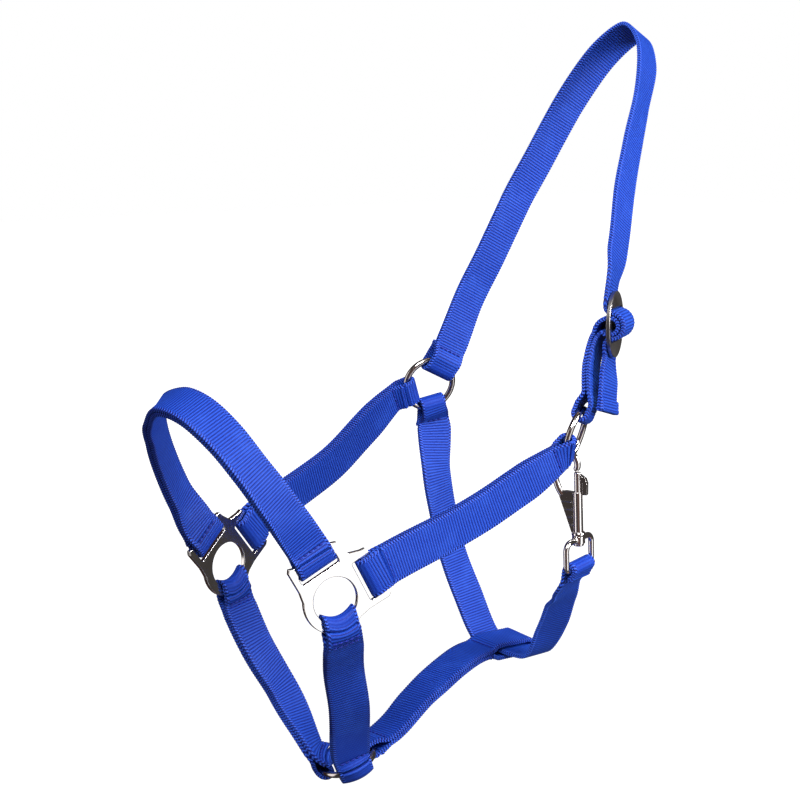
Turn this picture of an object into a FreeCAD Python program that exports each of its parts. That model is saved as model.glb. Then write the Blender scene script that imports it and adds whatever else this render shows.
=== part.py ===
import FreeCAD, Part
import math
import os

# Head halter of 25 mm webbing for a horse or pony. All lengths in millimetres.
# Origin: midway between the centres of the round holes in the two cheek plates.
# +X runs back from the nose to the poll, +Y from the animal's left (near) side to its
# right (far) side, +Z up.

V = FreeCAD.Vector
UP = V(0, 0, 1)
NEAR, FAR = -1, 1

# webbing
WEB_WIDTH = 25.0
PLY = 2.8  # thickness of one ply
PLY_GAP = 0.2  # air between two sewn plies
FIT = 0.3  # slack between webbing and the metal it is looped on
HALF_PAIR = (PLY + PLY_GAP) / 2  # offset of each ply from a doubled strap's middle
RETURN_END = 4.4  # how far a looped ply comes back past its bar
CHEEK_RETURN = 10.0  # the same for a cheek strap at its plate
PLY_END_GAP = 0.4  # between its end and the covering ply
TURN_STEPS = 8  # sections round one fold

# cheek plates
PLATE_HALF_SPAN = 57.0  # from the middle of the head to each plate
PLATE_THICKNESS = 3.0
PLATE_FLARE = 12.0  # degrees each plate opens toward the back
HOLE_RADIUS = 14.0
EYE_RADIUS = 20.3  # outside of the round lower part
SLOT_INNER, SLOT_OUTER = 19.0, 25.3  # slot edges, from the hole's centre
SLOT_LENGTH = 26.5
SLOT_BAR = 30.0  # outer edge of the bar beyond a slot
PLATE_LEAN = {NEAR: 17.0, FAR: 4.0}  # degrees each plate's notch points back
SLOT_SPREAD = 45.0  # degrees from the notch to each slot's middle
SLOT_TURN = 0.8  # fold centre, past the bar's inner edge
SLOT_CORNER = 1.2
# half outline of the plate from the notch to the foot of a wing: across, up
PLATE_OUTLINE = [
    (0, 28.5), (7.2, 31.8), (9.6, 33.6), (12.4, 32.4),
    (31.8, 12.8), (34.4, 11.6), (33.8, 8.8), (23.6, -0.6), (19.4, -6.0),
]

# rings
RING_SLACK = 0.9  # air between a ring's wire and the webbing on it
RING_RADIUS = 17.0  # to the middle of the wire
WIRE_RADIUS = 2.0
RING_FOLD = WIRE_RADIUS + RING_SLACK + PLY / 2  # fold radius on a ring, to the ply's middle
SLOT_FOLD = PLATE_THICKNESS / 2 + 0.5 + PLY / 2  # fold radius on a plate
HOLE_FOLD = SLOT_FOLD + 0.2
CHIN_FOLD = RING_FOLD + 0.4

# slide
SLIDE_LENGTH, SLIDE_WIDTH, SLIDE_THICKNESS = 42.0, 34.5, 2.5
SLIDE_BAR = 3.5  # half the width of the middle bar
SLIDE_SLOT_EDGE = 10.6
SLIDE_SLOT_LENGTH = 27.0
SLIDE_SLOT_CORNER = 1.0
CHAPE_FOLD = 5.3  # chape round the middle bar
CROWN_FOLD = CHAPE_FOLD + PLY + 0.25  # crown strap over the chape

# bolt snap, in its own frame: origin at the barrel's lower end, x to the thumb knob, z up
BARREL_RADIUS, BARREL_LENGTH = 3.1, 26.0
BORE_RADIUS, BORE_FLOOR = 2.25, 5.0
BOLT_RADIUS, BOLT_FOOT, BOLT_TIP = 2.2, 16.0, 39.0
THUMB_SLOT_FOOT = 14.5
THUMB_WEB = 1.8  # thickness of the web joining thumb knob and bolt
THUMB_SLACK = 0.2  # air either side of the web, and round the bolt's tip
TIP_CLEARANCE = 0.3  # between the bolt's tip and the hook's nose
BOLT_TIP_ROUND = 0.9
THUMB_WEB_FOOT, THUMB_WEB_HEIGHT, THUMB_WEB_REACH = 25.0, 11.0, 4.2
KNOB_THICKNESS = 3.6
KNOB_PROFILE = [(2.0, 37.6), (5.6, 35), (6.6, 32), (6.4, 24.6), (3.5, 24.6), (3.5, 33), (2.0, 34.5)]
GRIP_THICKNESS = 3.4
GRIP_PROFILE = [(-12.6, 25.6), (-7.6, 26.6), (-1.5, 26.0), (-1.5, 0), (-4.3, 0)]
GRIP_FOOT, GRIP_SPREAD = 4.3, 8.3  # reach of the grip at its foot, and how much more at its head
GRIP_GROOVES = (5, 10, 15, 20)
GROOVE_RADIUS = 0.8
GROOVE_FLOOR = 3.6  # grooves stop this far from the barrel's axis
HOOK_WIRE = 2.1
HOOK_LINE = [(-10.2, 24), (-13.6, 31), (-14.6, 38), (-13.4, 45), (-10.0, 50), (-5.8, 51.4),
             (-1.8, 48.8), (-0.4, 41.2)]
COLLAR_RADIUS, COLLAR_DROP, COLLAR_ROUND = 4.4, 2.2, 0.6
POST_RADIUS, POST_HEAD_RADIUS = 1.8, 3.4
POST_TOP = 4.2
POST_HEAD_HEIGHT, POST_HEAD_ROUND = 1.8, 0.8
SPRING_RADIUS, SPRING_WIRE, SPRING_COILS = 1.75, 0.35, 5
SPRING_CLEARANCE = 0.05
EYE_TOP, EYE_FOOT = -4.7, -22.5  # middle of the swivel eye's upper and lower bars
EYE_HALF_WIDTH, EYE_WIRE = 15.6, 1.9
EYE_CORNERS = (5.0, 3.0)  # bend radius of the upper and lower corners
HUB_RADIUS = 4.2
RUNNING_CLEARANCE = 0.05
POST_DROP = 7.2  # underside of the hub
HUB_HEIGHT = 4.6

# edge rounding
PLATE_ROUND, SLIDE_ROUND = 0.5, 0.4

# how straps are held
CHEEK_FOLD_WIDTH = 17.0
CHEEK_TILT = {NEAR: 0.0, FAR: -0.2}  # how far the upper edge leans, as a slope
THROAT_FOLD_WIDTH = 17.0
JAW_FOLD_WIDTH = 20.0
CHAPE_FOLD_WIDTH = 20.0
CROWN_FOLD_WIDTH = 22.0
CHIN_PULL = {NEAR: 12.0, FAR: 17.0}  # degrees back from straight down, at the plates
CHIN_RING_ANGLE = {NEAR: -109.0, FAR: 135.0}  # round the ring from the jaw strap
CHIN_RUN = {NEAR: [V(16, -44, -49), V(26.5, -35, -76)], FAR: [V(13.5, 46, -52), V(27, 36, -82)]}
CHAPE_SEAM = 24.0  # where the chape's two ends meet
CLOSING_LENGTH = 9.0  # over which two plies come together past a bar
GATHER_LENGTH, CHEEK_GATHER = 20.0, 40.0
SMALLEST_BOW = 0.05
KEEPER_REACH = 12.0  # from the throat strap's middle to the keeper's back fold
KEEPER_SLACK = 1.3
TAIL_START = 21.6  # below the slide's middle
CUT_GAP = 0.3  # between the two solids that stand for one bending strap
END_MARKS = (2, 4, 6.5, 9.5, 13)
LONGEST_STEP, SHORTEST_STEP = 9.0, 1.2


def unit(v):
    return V(v).normalize()


def across(v, axis):
    """The part of v at right angles to axis, as a unit vector."""
    return unit(v - axis * v.dot(axis))


def smooth(t):
    t = min(1.0, max(0.0, t))
    return t * t * (3 - 2 * t)


# ---------------------------------------------------------------- places and directions

class Ring:
    """A round ring: centre, axis, and the two directions in its plane."""

    def __init__(self, centre, axis, level):
        self.centre = centre
        self.axis = unit(axis)
        self.level = across(level, self.axis)
        self.up = self.level.cross(self.axis)
        if self.up.dot(V(0, 1, 2)) < 0:
            self.up = self.up * -1

    def out(self, degrees):
        a = math.radians(degrees)
        return self.level * math.cos(a) + self.up * math.sin(a)

    def straight_bar(self, degrees, width):
        """Where a straight fold of this width rests, and how far the wire sags below it."""
        reach = math.sqrt(RING_RADIUS ** 2 - (width / 2) ** 2)
        return self.centre + self.out(degrees) * reach, RING_RADIUS - reach

    def solid(self):
        return Part.makeTorus(RING_RADIUS, WIRE_RADIUS, self.centre, self.axis)


NEAR_RING = Ring(V(179, -68, 80), V(0.5, -0.82, -0.28), V(0.854, 0.521, 0))
FAR_RING = Ring(V(171, 68, 97), V(0.26, 0.94, 0.235), V(0.964, -0.266, 0))
CHIN_RING = Ring(V(51, 0, -122.5), V(-0.37, 0, 0.93), V(0.93, 0, 0.37))

SLIDE_CENTRE = V(208, -72, 148)
SLIDE_OUT = unit(V(0.52, -0.85, 0))
SLIDE_ACROSS = SLIDE_OUT.cross(UP) * -1

SNAP_FOOT = V(184, -67, 17)
SNAP_UP = unit(V(-0.06, -0.02, 1))
SNAP_ACROSS = across(V(0.52, -0.85, 0), SNAP_UP)
EYE_ACROSS = across(V(0.956, 0.292, 0), SNAP_UP)

# throat strap where it lies flat in the keeper loop: place and side direction
KEEPER_IN = (V(192, 31, -74.4), V(1, 0.1, 0))
KEEPER_MIDDLE = (V(193.6, 15, -75.8), V(1, 0.1, 0))
KEEPER_OUT = (V(195.2, -1, -77.2), V(1, 0.1, 0))


def plate_frame(side):
    """The plate's hole centre, its back-pointing and its outward directions."""
    a = math.radians(PLATE_FLARE)
    back = V(math.cos(a), side * math.sin(a), 0)
    out = V(-math.sin(a), side * math.cos(a), 0)
    return V(0, side * PLATE_HALF_SPAN, 0), back, out


def plate_direction(side, degrees):
    """Direction in the plate's plane, degrees from straight up toward the back."""
    centre, back, out = plate_frame(side)
    a = math.radians(degrees)
    return back * math.sin(a) + UP * math.cos(a)


# ---------------------------------------------------------------- webbing as ribbons

def section(middle, side, normal, width, bow=0.0, bow_way=None):
    """One cross-section of a ply; bow curves it so that its edges trail its middle."""
    corners = []
    for face in (0.5, -0.5):
        centre = middle + normal * (PLY * face)
        left = centre - side * (width / 2)
        right = centre + side * (width / 2)
        if bow:
            left = left - bow_way * bow
            right = right - bow_way * bow
        corners.append((left, centre, right))
    (a, top, b), (d, low, c) = corners
    if bow:
        edges = [Part.Arc(a, top, b).toShape(), Part.makeLine(b, c)]
        edges += [Part.Arc(c, low, d).toShape(), Part.makeLine(d, a)]
    else:
        edges = [Part.makeLine(p, q) for p, q in ((a, b), (b, c), (c, d), (d, a))]
    return Part.Wire(edges)


def ribbon(sections):
    """Closed solid through the sections; a bowed end is closed by a ruled face."""
    sides = Part.makeLoft(sections, False, True).Faces
    caps = []
    for wire in (sections[0], sections[-1]):
        top, right, low, left = wire.Edges
        caps.append(Part.makeRuledSurface(top, low))
    shell = Part.makeShell(sides + caps)
    shell.sewShape()
    return Part.makeSolid(shell)


class Run:
    """The middle line of a strap: a smooth curve through stations, with its side direction."""

    def __init__(self, stations):
        self.points = [s[0] for s in stations]
        self.sides = [unit(s[1]) for s in stations]
        self.at = [0.0]
        for p, q in zip(self.points, self.points[1:]):
            self.at.append(self.at[-1] + p.distanceToPoint(q))
        self.length = self.at[-1]

    def slope(self, i):
        lo, hi = max(0, i - 1), min(len(self.points) - 1, i + 1)
        return (self.points[hi] - self.points[lo]) * (1 / (self.at[hi] - self.at[lo]))

    def frame(self, s):
        """Point, tangent, side and normal (side x tangent) at distance s along the run."""
        i = 0
        while i < len(self.at) - 2 and s > self.at[i + 1]:
            i += 1
        span = self.at[i + 1] - self.at[i]
        t = (s - self.at[i]) / span
        p, q = self.points[i], self.points[i + 1]
        m, n = self.slope(i) * span, self.slope(i + 1) * span
        point = (
            p * (2 * t ** 3 - 3 * t ** 2 + 1)
            + m * (t ** 3 - 2 * t ** 2 + t)
            + q * (3 * t ** 2 - 2 * t ** 3)
            + n * (t ** 3 - t ** 2)
        )
        tangent = unit(
            p * (6 * t ** 2 - 6 * t)
            + m * (3 * t ** 2 - 4 * t + 1)
            + q * (6 * t - 6 * t ** 2)
            + n * (3 * t ** 2 - 2 * t)
        )
        blend = smooth(t)
        side = across(self.sides[i] * (1 - blend) + self.sides[i + 1] * blend, tangent)
        return point, tangent, side, side.cross(tangent)


class End:
    """How a strap is held at one end."""

    def __init__(self, fold, hold, width=WEB_WIDTH, circle=None, way=None, back=RETURN_END,
                 gather=GATHER_LENGTH):
        self.fold = fold  # radius of the fold, to the middle of the ply
        self.hold = hold  # the plies stay apart this far past the fold's centre
        self.width = width  # webbing gathers to this width in the fold
        self.circle = circle  # radius of a curved bar
        self.way = way  # direction away from that circle's centre
        self.back = back  # how far the looped ply comes back
        self.gather = gather  # gathered or bowed webbing lies flat again after this length

    def closing(self, s):
        return smooth((s - self.hold) / CLOSING_LENGTH)

    def width_at(self, s):
        return self.width + (WEB_WIDTH - self.width) * smooth(s / self.gather)

    def bow_at(self, s):
        if not self.circle:
            return 0.0
        half = self.width_at(s) / 2
        bow = self.circle - math.sqrt(self.circle ** 2 - half ** 2)
        bow *= 1 - smooth(s / self.gather)
        return bow if bow > SMALLEST_BOW else 0.0


class Strap:
    """Webbing along a run; an end is None where the webbing is simply cut off."""

    def __init__(self, stations, first, last):
        self.run = Run(stations)
        self.length = self.run.length
        self.ends = (first, last)

    def nearest(self, s):
        if s < self.length / 2:
            return self.ends[0], s
        return self.ends[1], self.length - s

    def paired(self, face):
        """Offset of one ply of a doubled strap."""
        def offset(s):
            end, d = self.nearest(s)
            return face * (end.fold + (HALF_PAIR - end.fold) * end.closing(d))
        return offset

    def single(self, face):
        """Offset of a single ply: on the run's middle line except near a folded end."""
        def offset(s):
            end, d = self.nearest(s)
            return -face * end.fold * (1 - end.closing(d)) if end else 0.0
        return offset

    def turned_back(self, face):
        """Offset of the short length that comes back beside a single ply."""
        def offset(s):
            end, d = self.nearest(s)
            apart = 2 * end.fold + (PLY + PLY_GAP - 2 * end.fold) * end.closing(d)
            return self.single(face)(s) + face * apart
        return offset

    def marks(self, start, stop):
        """Distances at which to put sections: close together near folds and tight bends."""
        count = math.ceil(self.length / LONGEST_STEP)
        wanted = [self.length * i / count for i in range(count + 1)]
        for s in END_MARKS:
            wanted += [s, self.length - s]
        for a, b in zip(self.run.at, self.run.at[1:]):
            if b - a < LONGEST_STEP:
                wanted += [a, b]
        kept = [start]
        last = -LONGEST_STEP
        for s in sorted(wanted):
            if s - last > SHORTEST_STEP:
                last = s
                if start + SHORTEST_STEP < s < stop - SHORTEST_STEP:
                    kept.append(s)
        return kept + [stop]

    def strand(self, offset, start, stop):
        """Sections of one ply from start to stop, at an offset from the middle line."""
        found = []
        for s in self.marks(min(start, stop), max(start, stop)):
            point, tangent, side, normal = self.run.frame(s)
            end, d = self.nearest(s)
            middle = point + normal * offset(s)
            if end:
                found.append(section(middle, side, normal, end.width_at(d), end.bow_at(d), end.way))
            else:
                found.append(section(middle, side, normal, WEB_WIDTH))
        return found if start < stop else found[::-1]

    def fold(self, last, face):
        """Sections round the bar at one end, starting on the given face."""
        point, tangent, side, normal = self.run.frame(self.length if last else 0)
        end = self.ends[last]
        outward = tangent if last else tangent * -1
        found = []
        for i in range(1, TURN_STEPS):
            a = math.pi * i / TURN_STEPS
            radial = normal * (math.cos(a) * face) + outward * math.sin(a)
            middle = point + radial * end.fold
            found.append(section(middle, side, radial, end.width, end.bow_at(0), end.way))
        return found

    def looped_ply(self, face):
        """A ply turned round a bar at each end, both ends coming back on the given face."""
        first, last = self.ends
        parts = self.strand(self.paired(face), first.back, 0)
        parts += self.fold(0, face)
        parts += self.strand(self.paired(-face), 0, self.length)
        parts += self.fold(1, -face)
        parts += self.strand(self.paired(face), self.length, self.length - last.back)
        return ribbon(parts)

    def covering_ply(self, face):
        start = self.ends[0].back + PLY_END_GAP
        stop = self.length - self.ends[1].back - PLY_END_GAP
        return ribbon(self.strand(self.paired(face), start, stop))

    def first_single(self, face, stop):
        """A single ply turned round its first bar and running on to stop."""
        parts = self.strand(self.turned_back(face), self.ends[0].back, 0)
        parts += self.fold(0, face)
        return ribbon(parts + self.strand(self.single(face), 0, stop))

    def last_single(self, face, start):
        """A single ply from start to its last bar and back."""
        parts = self.strand(self.single(face), start, self.length)
        parts += self.fold(1, -face)
        back = self.length - self.ends[1].back
        return ribbon(parts + self.strand(self.turned_back(face), self.length, back))


# ---------------------------------------------------------------- the straps

def slot_bar(side, rear):
    """Fold centre at a plate's slot, and the direction the strap leaves in."""
    way = plate_direction(side, PLATE_LEAN[side] + SLOT_SPREAD * (1 if rear else -1))
    return plate_frame(side)[0] + way * (SLOT_OUTER + SLOT_TURN), way


def slot_end(back=RETURN_END):
    return End(SLOT_FOLD, SLOT_BAR - SLOT_OUTER, back=back)


def ring_end(sag, width, back=RETURN_END, gather=GATHER_LENGTH):
    return End(RING_FOLD, sag + WIRE_RADIUS, width, back=back, gather=gather)


def backward(v):
    """v or its opposite, whichever points back."""
    return v if v.x > 0 else v * -1


def noseband():
    near, near_way = slot_bar(NEAR, False)
    far, far_way = slot_bar(FAR, False)
    near_side = backward(near_way.cross(plate_frame(NEAR)[2]))
    far_side = backward(far_way.cross(plate_frame(FAR)[2]))
    near_leaning = V(0.8, 0.25, 0.54)
    far_leaning = V(0.66, 0.5, 0.56)
    return Strap(
        [
            (near, near_side),
            (near + near_way * 12, near_side),
            (V(-38, -52, 62), V(0.84, 0.1, 0.54)),
            (V(-51, -46, 82), near_leaning),
            (V(-61, -35, 100), near_leaning),
            (V(-69, -18, 113.5), V(0.9, 0.1, 0.42)),
            (V(-73, 2, 117), V(0.9, 0.1, 0.42)),
            (V(-71, 21, 108), V(0.75, 0.35, 0.56)),
            (V(-63, 35, 93), far_leaning),
            (V(-52, 45, 74), far_leaning),
            (V(-38, 51, 50), far_leaning),
            (far + far_way * 12, far_side),
            (far, far_side),
        ],
        slot_end(),
        slot_end(),
    )


def cheek_strap(side, ring, ring_angle):
    start, way = slot_bar(side, True)
    bar, sag = ring.straight_bar(ring_angle, CHEEK_FOLD_WIDTH)
    straight = unit(bar - start)
    return Strap(
        [
            (start, across(UP, way)),
            (start + way * 12, across(UP, way)),
            ((start + bar) * 0.5 + V(0, side * 2, -4), V(-0.5, CHEEK_TILT[side], 0.85)),
            (bar + ring.out(ring_angle) * 9 + straight * -5, V(-0.5, CHEEK_TILT[side], 0.85)),
            (bar, ring.out(ring_angle - 90)),
        ],
        slot_end(CHEEK_RETURN),
        ring_end(sag, CHEEK_FOLD_WIDTH, gather=CHEEK_GATHER),
    )


def chin_strap(side):
    hole, back, out = plate_frame(side)
    way = plate_direction(side, 180 - CHIN_PULL[side])
    radius = HOLE_RADIUS + SLOT_TURN
    start = hole + way * radius
    start_side = backward(out.cross(way))
    leave = CHIN_RING.out(CHIN_RING_ANGLE[side])
    bar = CHIN_RING.centre + leave * RING_RADIUS
    rim = backward(CHIN_RING.axis.cross(leave))
    return Strap(
        [
            (start, start_side),
            (start + way * 11, start_side),
            (CHIN_RUN[side][0], V(0.9, side * 0.3, 0.3)),
            (CHIN_RUN[side][1], V(0.85, side * 0.4, 0.3)),
            (bar + CHIN_RING.axis * 13 + V(-1, side * 2, 0), rim),
            (bar, rim),
        ],
        End(HOLE_FOLD, EYE_RADIUS - HOLE_RADIUS, 21.0, radius, way),
        End(CHIN_FOLD, WIRE_RADIUS, 21.5, RING_RADIUS, leave),
    )


def throat_strap():
    """From the far ring, through the jaw strap's keeper, to the snap's swivel eye."""
    bar, sag = FAR_RING.straight_bar(283, THROAT_FOLD_WIDTH)
    leave = FAR_RING.out(283)
    eye_bar = SNAP_FOOT + SNAP_UP * EYE_FOOT
    return Strap(
        [
            (bar, backward(FAR_RING.out(13))),
            (bar + leave * 14, V(0.95, -0.2, 0.1)),
            (V(176, 66, 36), V(0.99, 0.1, 0)),
            (V(180, 63.5, 8), V(0.98, 0.15, 0.1)),
            (V(184, 58, -20), V(0.98, 0.15, 0.1)),
            (V(188, 48, -45), V(0.98, 0.1, 0.1)),
            KEEPER_IN,
            KEEPER_MIDDLE,
            KEEPER_OUT,
            (V(197, -15, -75.5), V(1, 0.1, 0)),
            (V(197, -29, -55), V(1, -0.1, 0.05)),
            (V(194, -40, -36), V(1, -0.05, 0.1)),
            (V(189, -51, -24), EYE_ACROSS),
            (eye_bar + across(V(0.2, 0.59, -0.78), EYE_ACROSS) * 12, EYE_ACROSS),
            (eye_bar, EYE_ACROSS),
        ],
        ring_end(sag, THROAT_FOLD_WIDTH, 16.0),
        End(EYE_WIRE + FIT + PLY / 2, EYE_WIRE, back=7.0),
    )


def jaw_strap():
    bar, sag = CHIN_RING.straight_bar(0, JAW_FOLD_WIDTH)
    across_keeper = unit(KEEPER_IN[0] - KEEPER_OUT[0])
    back_of_keeper = KEEPER_MIDDLE[0] + V(1, 0, 0) * KEEPER_REACH
    return Strap(
        [
            (bar, V(0, 1, 0)),
            (bar + V(12, 0, 3.4), V(0, 1, 0)),
            (V(90.5, 1, -107), V(0, 1, 0)),
            (V(108, 3, -95.5), V(-0.1, 1, 0)),
            (V(125, 5, -87), V(-0.1, 1, 0.1)),
            (V(143, 8, -80), across_keeper),
            (V(160, 12, -76.4), across_keeper),
            (KEEPER_MIDDLE[0] - V(1, 0, 0) * 16, across_keeper),
            (back_of_keeper, across_keeper),
        ],
        ring_end(sag, JAW_FOLD_WIDTH),
        End(PLY + FIT + KEEPER_SLACK, 2 * KEEPER_REACH + 2, back=34.0),
    )


def beside_slide(outward, up):
    return SLIDE_CENTRE + SLIDE_OUT * outward + UP * up


def chape():
    bar, sag = NEAR_RING.straight_bar(75, CHAPE_FOLD_WIDTH)
    leave = NEAR_RING.out(75)
    return Strap(
        [
            (bar, backward(NEAR_RING.out(-15))),
            (bar + leave * 13, SLIDE_ACROSS),
            (V(195, -65.5, 124), SLIDE_ACROSS),
            (beside_slide(-10.5, -9), SLIDE_ACROSS),
            (beside_slide(-6.5, -1.5), SLIDE_ACROSS),
            (beside_slide(0, 0), SLIDE_ACROSS),
        ],
        ring_end(sag, CHAPE_FOLD_WIDTH),
        End(CHAPE_FOLD, SLIDE_THICKNESS / 2 + FIT),
    )


def chape_loop():
    """One closed length: its ends meet on the outer face, near the ring."""
    strap = chape()
    strap.ends[0].back = CHAPE_SEAM - PLY_END_GAP / 2
    strap.ends[1].back = strap.length - CHAPE_SEAM - PLY_END_GAP / 2
    return strap.looped_ply(1)


def crown_strap():
    """From the far ring over the poll, down behind the slide and laced through it."""
    bar, sag = FAR_RING.straight_bar(63, CROWN_FOLD_WIDTH)
    leave = FAR_RING.out(63)
    level = V(0.89, 0, -0.45)
    stations = [
        (bar, backward(FAR_RING.out(-27))),
        (bar + leave * 14, V(0.89, -0.1, -0.44)),
        (V(197, 58, 153), level),
        (V(213, 52, 186), level),
        (V(229, 47, 219), level),
        (V(246, 40, 251), level),
        (V(262, 31, 284), level),
        (V(280, 19, 315), level),
        (V(290, 0, 331), V(0.88, 0.08, -0.45)),
        (V(283, -20, 315), V(0.82, 0.2, -0.5)),
        (V(267, -32, 285), V(0.76, 0.34, -0.54)),
        (V(249, -42, 254), V(0.8, 0.28, -0.54)),
        (V(232, -53, 223), V(0.84, 0.24, -0.48)),
        (V(218, -63, 193), V(0.86, 0.3, -0.35)),
        (V(210, -68, 177), SLIDE_ACROSS),
        (beside_slide(-3.3, 15), SLIDE_ACROSS),
    ]
    entry = [(-3.15, 11.2), (-1.7, 8.8), (1.5, 8.2)]
    stations += [(beside_slide(n, a), SLIDE_ACROSS) for n, a in entry]
    for degrees in range(30, 151, 15):
        a = math.radians(degrees)
        at = beside_slide(CROWN_FOLD * math.sin(a), CROWN_FOLD * math.cos(a))
        stations.append((at, SLIDE_ACROSS))
    stations += [(beside_slide(n, -a), SLIDE_ACROSS) for n, a in entry[::-1]]
    stations += [
        (beside_slide(-3.3, -15), SLIDE_ACROSS),
        (beside_slide(-3.3, -TAIL_START), SLIDE_ACROSS),
        (V(202, -73, 111), V(0.92, 0.4, 0)),
        (V(198, -76, 93), V(0.93, 0.36, 0)),
    ]
    return Strap(stations, ring_end(sag, CROWN_FOLD_WIDTH, 16.0), None)


# ---------------------------------------------------------------- metal parts

def through(width, height, low_x, low_z):
    """A box along Y, long enough to cut through a plate."""
    reach = 3 * PLATE_THICKNESS
    return Part.makeBox(width, reach, height, V(low_x, -reach / 2, low_z))


def flat_edges(shape, axis):
    """Edges that lie in planes at right angles to the axis: the rims of a flat plate."""
    return [e for e in shape.Edges if getattr(e.BoundBox, axis + "Length") < 0.01]


def plate(side):
    """Cheek plate: two slotted wings either side of a notch, and a round eye below."""
    face_down, along = V(0, -PLATE_THICKNESS / 2, 0), V(0, 1, 0)
    outline = PLATE_OUTLINE + [(-x, z) for x, z in PLATE_OUTLINE[:0:-1]]
    points = [V(x, 0, z) + face_down for x, z in outline]
    body = Part.Face(Part.makePolygon(points + points[:1])).extrude(along * PLATE_THICKNESS)
    body = body.fuse(Part.makeCylinder(EYE_RADIUS, PLATE_THICKNESS, face_down, along))
    body = body.cut(Part.makeCylinder(HOLE_RADIUS, PLATE_THICKNESS, face_down, along))
    for way in (-1, 1):
        slot = through(SLOT_LENGTH, SLOT_OUTER - SLOT_INNER, -SLOT_LENGTH / 2, SLOT_INNER)
        corners = [e for e in slot.Edges if e.BoundBox.YLength > PLATE_THICKNESS]
        slot = slot.makeFillet(SLOT_CORNER, corners)
        slot.rotate(V(), along, way * SLOT_SPREAD)
        body = body.cut(slot)
    body = body.removeSplitter()
    body = body.makeFillet(PLATE_ROUND, flat_edges(body, "Y"))
    body.rotate(V(), along, PLATE_LEAN[side])
    body.rotate(V(), UP, side * PLATE_FLARE)
    body.translate(V(0, side * PLATE_HALF_SPAN, 0))
    return body


def slide():
    """Oval three-bar slide."""
    oval = Part.Ellipse(V(), SLIDE_LENGTH / 2, SLIDE_WIDTH / 2).toShape()
    body = Part.Face(Part.Wire(oval)).extrude(V(0, 0, SLIDE_THICKNESS))
    width = SLIDE_SLOT_EDGE - SLIDE_BAR
    deep = 3 * SLIDE_THICKNESS
    for foot in (SLIDE_BAR, -SLIDE_SLOT_EDGE):
        low = V(foot, -SLIDE_SLOT_LENGTH / 2, -SLIDE_THICKNESS)
        slot = Part.makeBox(width, SLIDE_SLOT_LENGTH, deep, low)
        corners = [e for e in slot.Edges if e.BoundBox.ZLength > SLIDE_THICKNESS]
        body = body.cut(slot.makeFillet(SLIDE_SLOT_CORNER, corners))
    body = body.makeFillet(SLIDE_ROUND, flat_edges(body, "Z"))
    body.translate(V(0, 0, -SLIDE_THICKNESS / 2))
    # length up, width across, thickness outward
    return placed(body, SLIDE_CENTRE, UP, SLIDE_ACROSS)


def placed(shape, origin, x_to, y_to):
    """Move a shape so that its x and y axes lie along the given directions."""
    z_to = x_to.cross(y_to)
    matrix = FreeCAD.Matrix(
        x_to.x, y_to.x, z_to.x, origin.x,
        x_to.y, y_to.y, z_to.y, origin.y,
        x_to.z, y_to.z, z_to.z, origin.z,
        0, 0, 0, 1,
    )
    return shape.transformShape(matrix, True, False)


def rod(points, radius, closed=False):
    """Round wire bent along a smooth line."""
    curve = Part.BSplineCurve()
    curve.interpolate(points, PeriodicFlag=closed)
    start = points[0]
    way = curve.tangent(curve.FirstParameter)[0]
    profile = Part.Wire(Part.Circle(start, way, radius).toShape())
    return Part.Wire(curve.toShape()).makePipeShell([profile], True, True)


def in_snap(shape):
    return placed(shape, SNAP_FOOT, SNAP_ACROSS, SNAP_UP.cross(SNAP_ACROSS))


def profile(points, thickness):
    """A flat piece of this thickness, centred on y = 0, from its outline in x and z."""
    corners = [V(x, -thickness / 2, z) for x, z in points]
    return Part.Face(Part.makePolygon(corners + corners[:1])).extrude(V(0, thickness, 0))


def post_shank(top):
    return Part.makeCylinder(POST_RADIUS, top + POST_DROP, V(0, 0, -POST_DROP))


def grip():
    """Tapered grip beside the barrel, with finger grooves across its edge and faces."""
    wedge = profile(GRIP_PROFILE, GRIP_THICKNESS)
    for z in GRIP_GROOVES:
        reach = GRIP_FOOT + GRIP_SPREAD * z / BARREL_LENGTH
        for way in (-1, 1):
            start = V(-reach, way * (GRIP_THICKNESS / 2 + GROOVE_RADIUS / 2), z)
            groove = Part.makeCylinder(GROOVE_RADIUS, reach - GROOVE_FLOOR, start, V(1, 0, 0))
            wedge = wedge.cut(groove)
    return wedge


def snap_body():
    """Hook, tapered grip, slotted barrel and collar: one casting."""
    barrel = Part.makeCylinder(BARREL_RADIUS, BARREL_LENGTH)
    collar = Part.makeCylinder(COLLAR_RADIUS, COLLAR_DROP, V(0, 0, -COLLAR_DROP))
    collar = collar.makeFillet(COLLAR_ROUND, collar.Edges)
    hook = rod([V(x, 0, z) for x, z in HOOK_LINE], HOOK_WIRE)
    nose_x, nose_z = HOOK_LINE[-1]
    nose = Part.makeSphere(HOOK_WIRE, V(nose_x, 0, nose_z))
    body = barrel.multiFuse([collar, grip(), hook, nose])
    bore = Part.makeCylinder(BORE_RADIUS, BARREL_LENGTH, V(0, 0, BORE_FLOOR))
    slot = THUMB_WEB + 2 * THUMB_SLACK
    opening = Part.makeBox(2 * BARREL_RADIUS, slot, BARREL_LENGTH, V(0, -slot / 2, THUMB_SLOT_FOOT))
    above = BOLT_TIP + TIP_CLEARANCE - BARREL_LENGTH
    gate = Part.makeCylinder(BOLT_RADIUS + THUMB_SLACK, above, V(0, 0, BARREL_LENGTH))
    body = body.cut(bore).cut(opening).cut(post_shank(POST_TOP)).cut(gate)
    return in_snap(body.removeSplitter())


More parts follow.
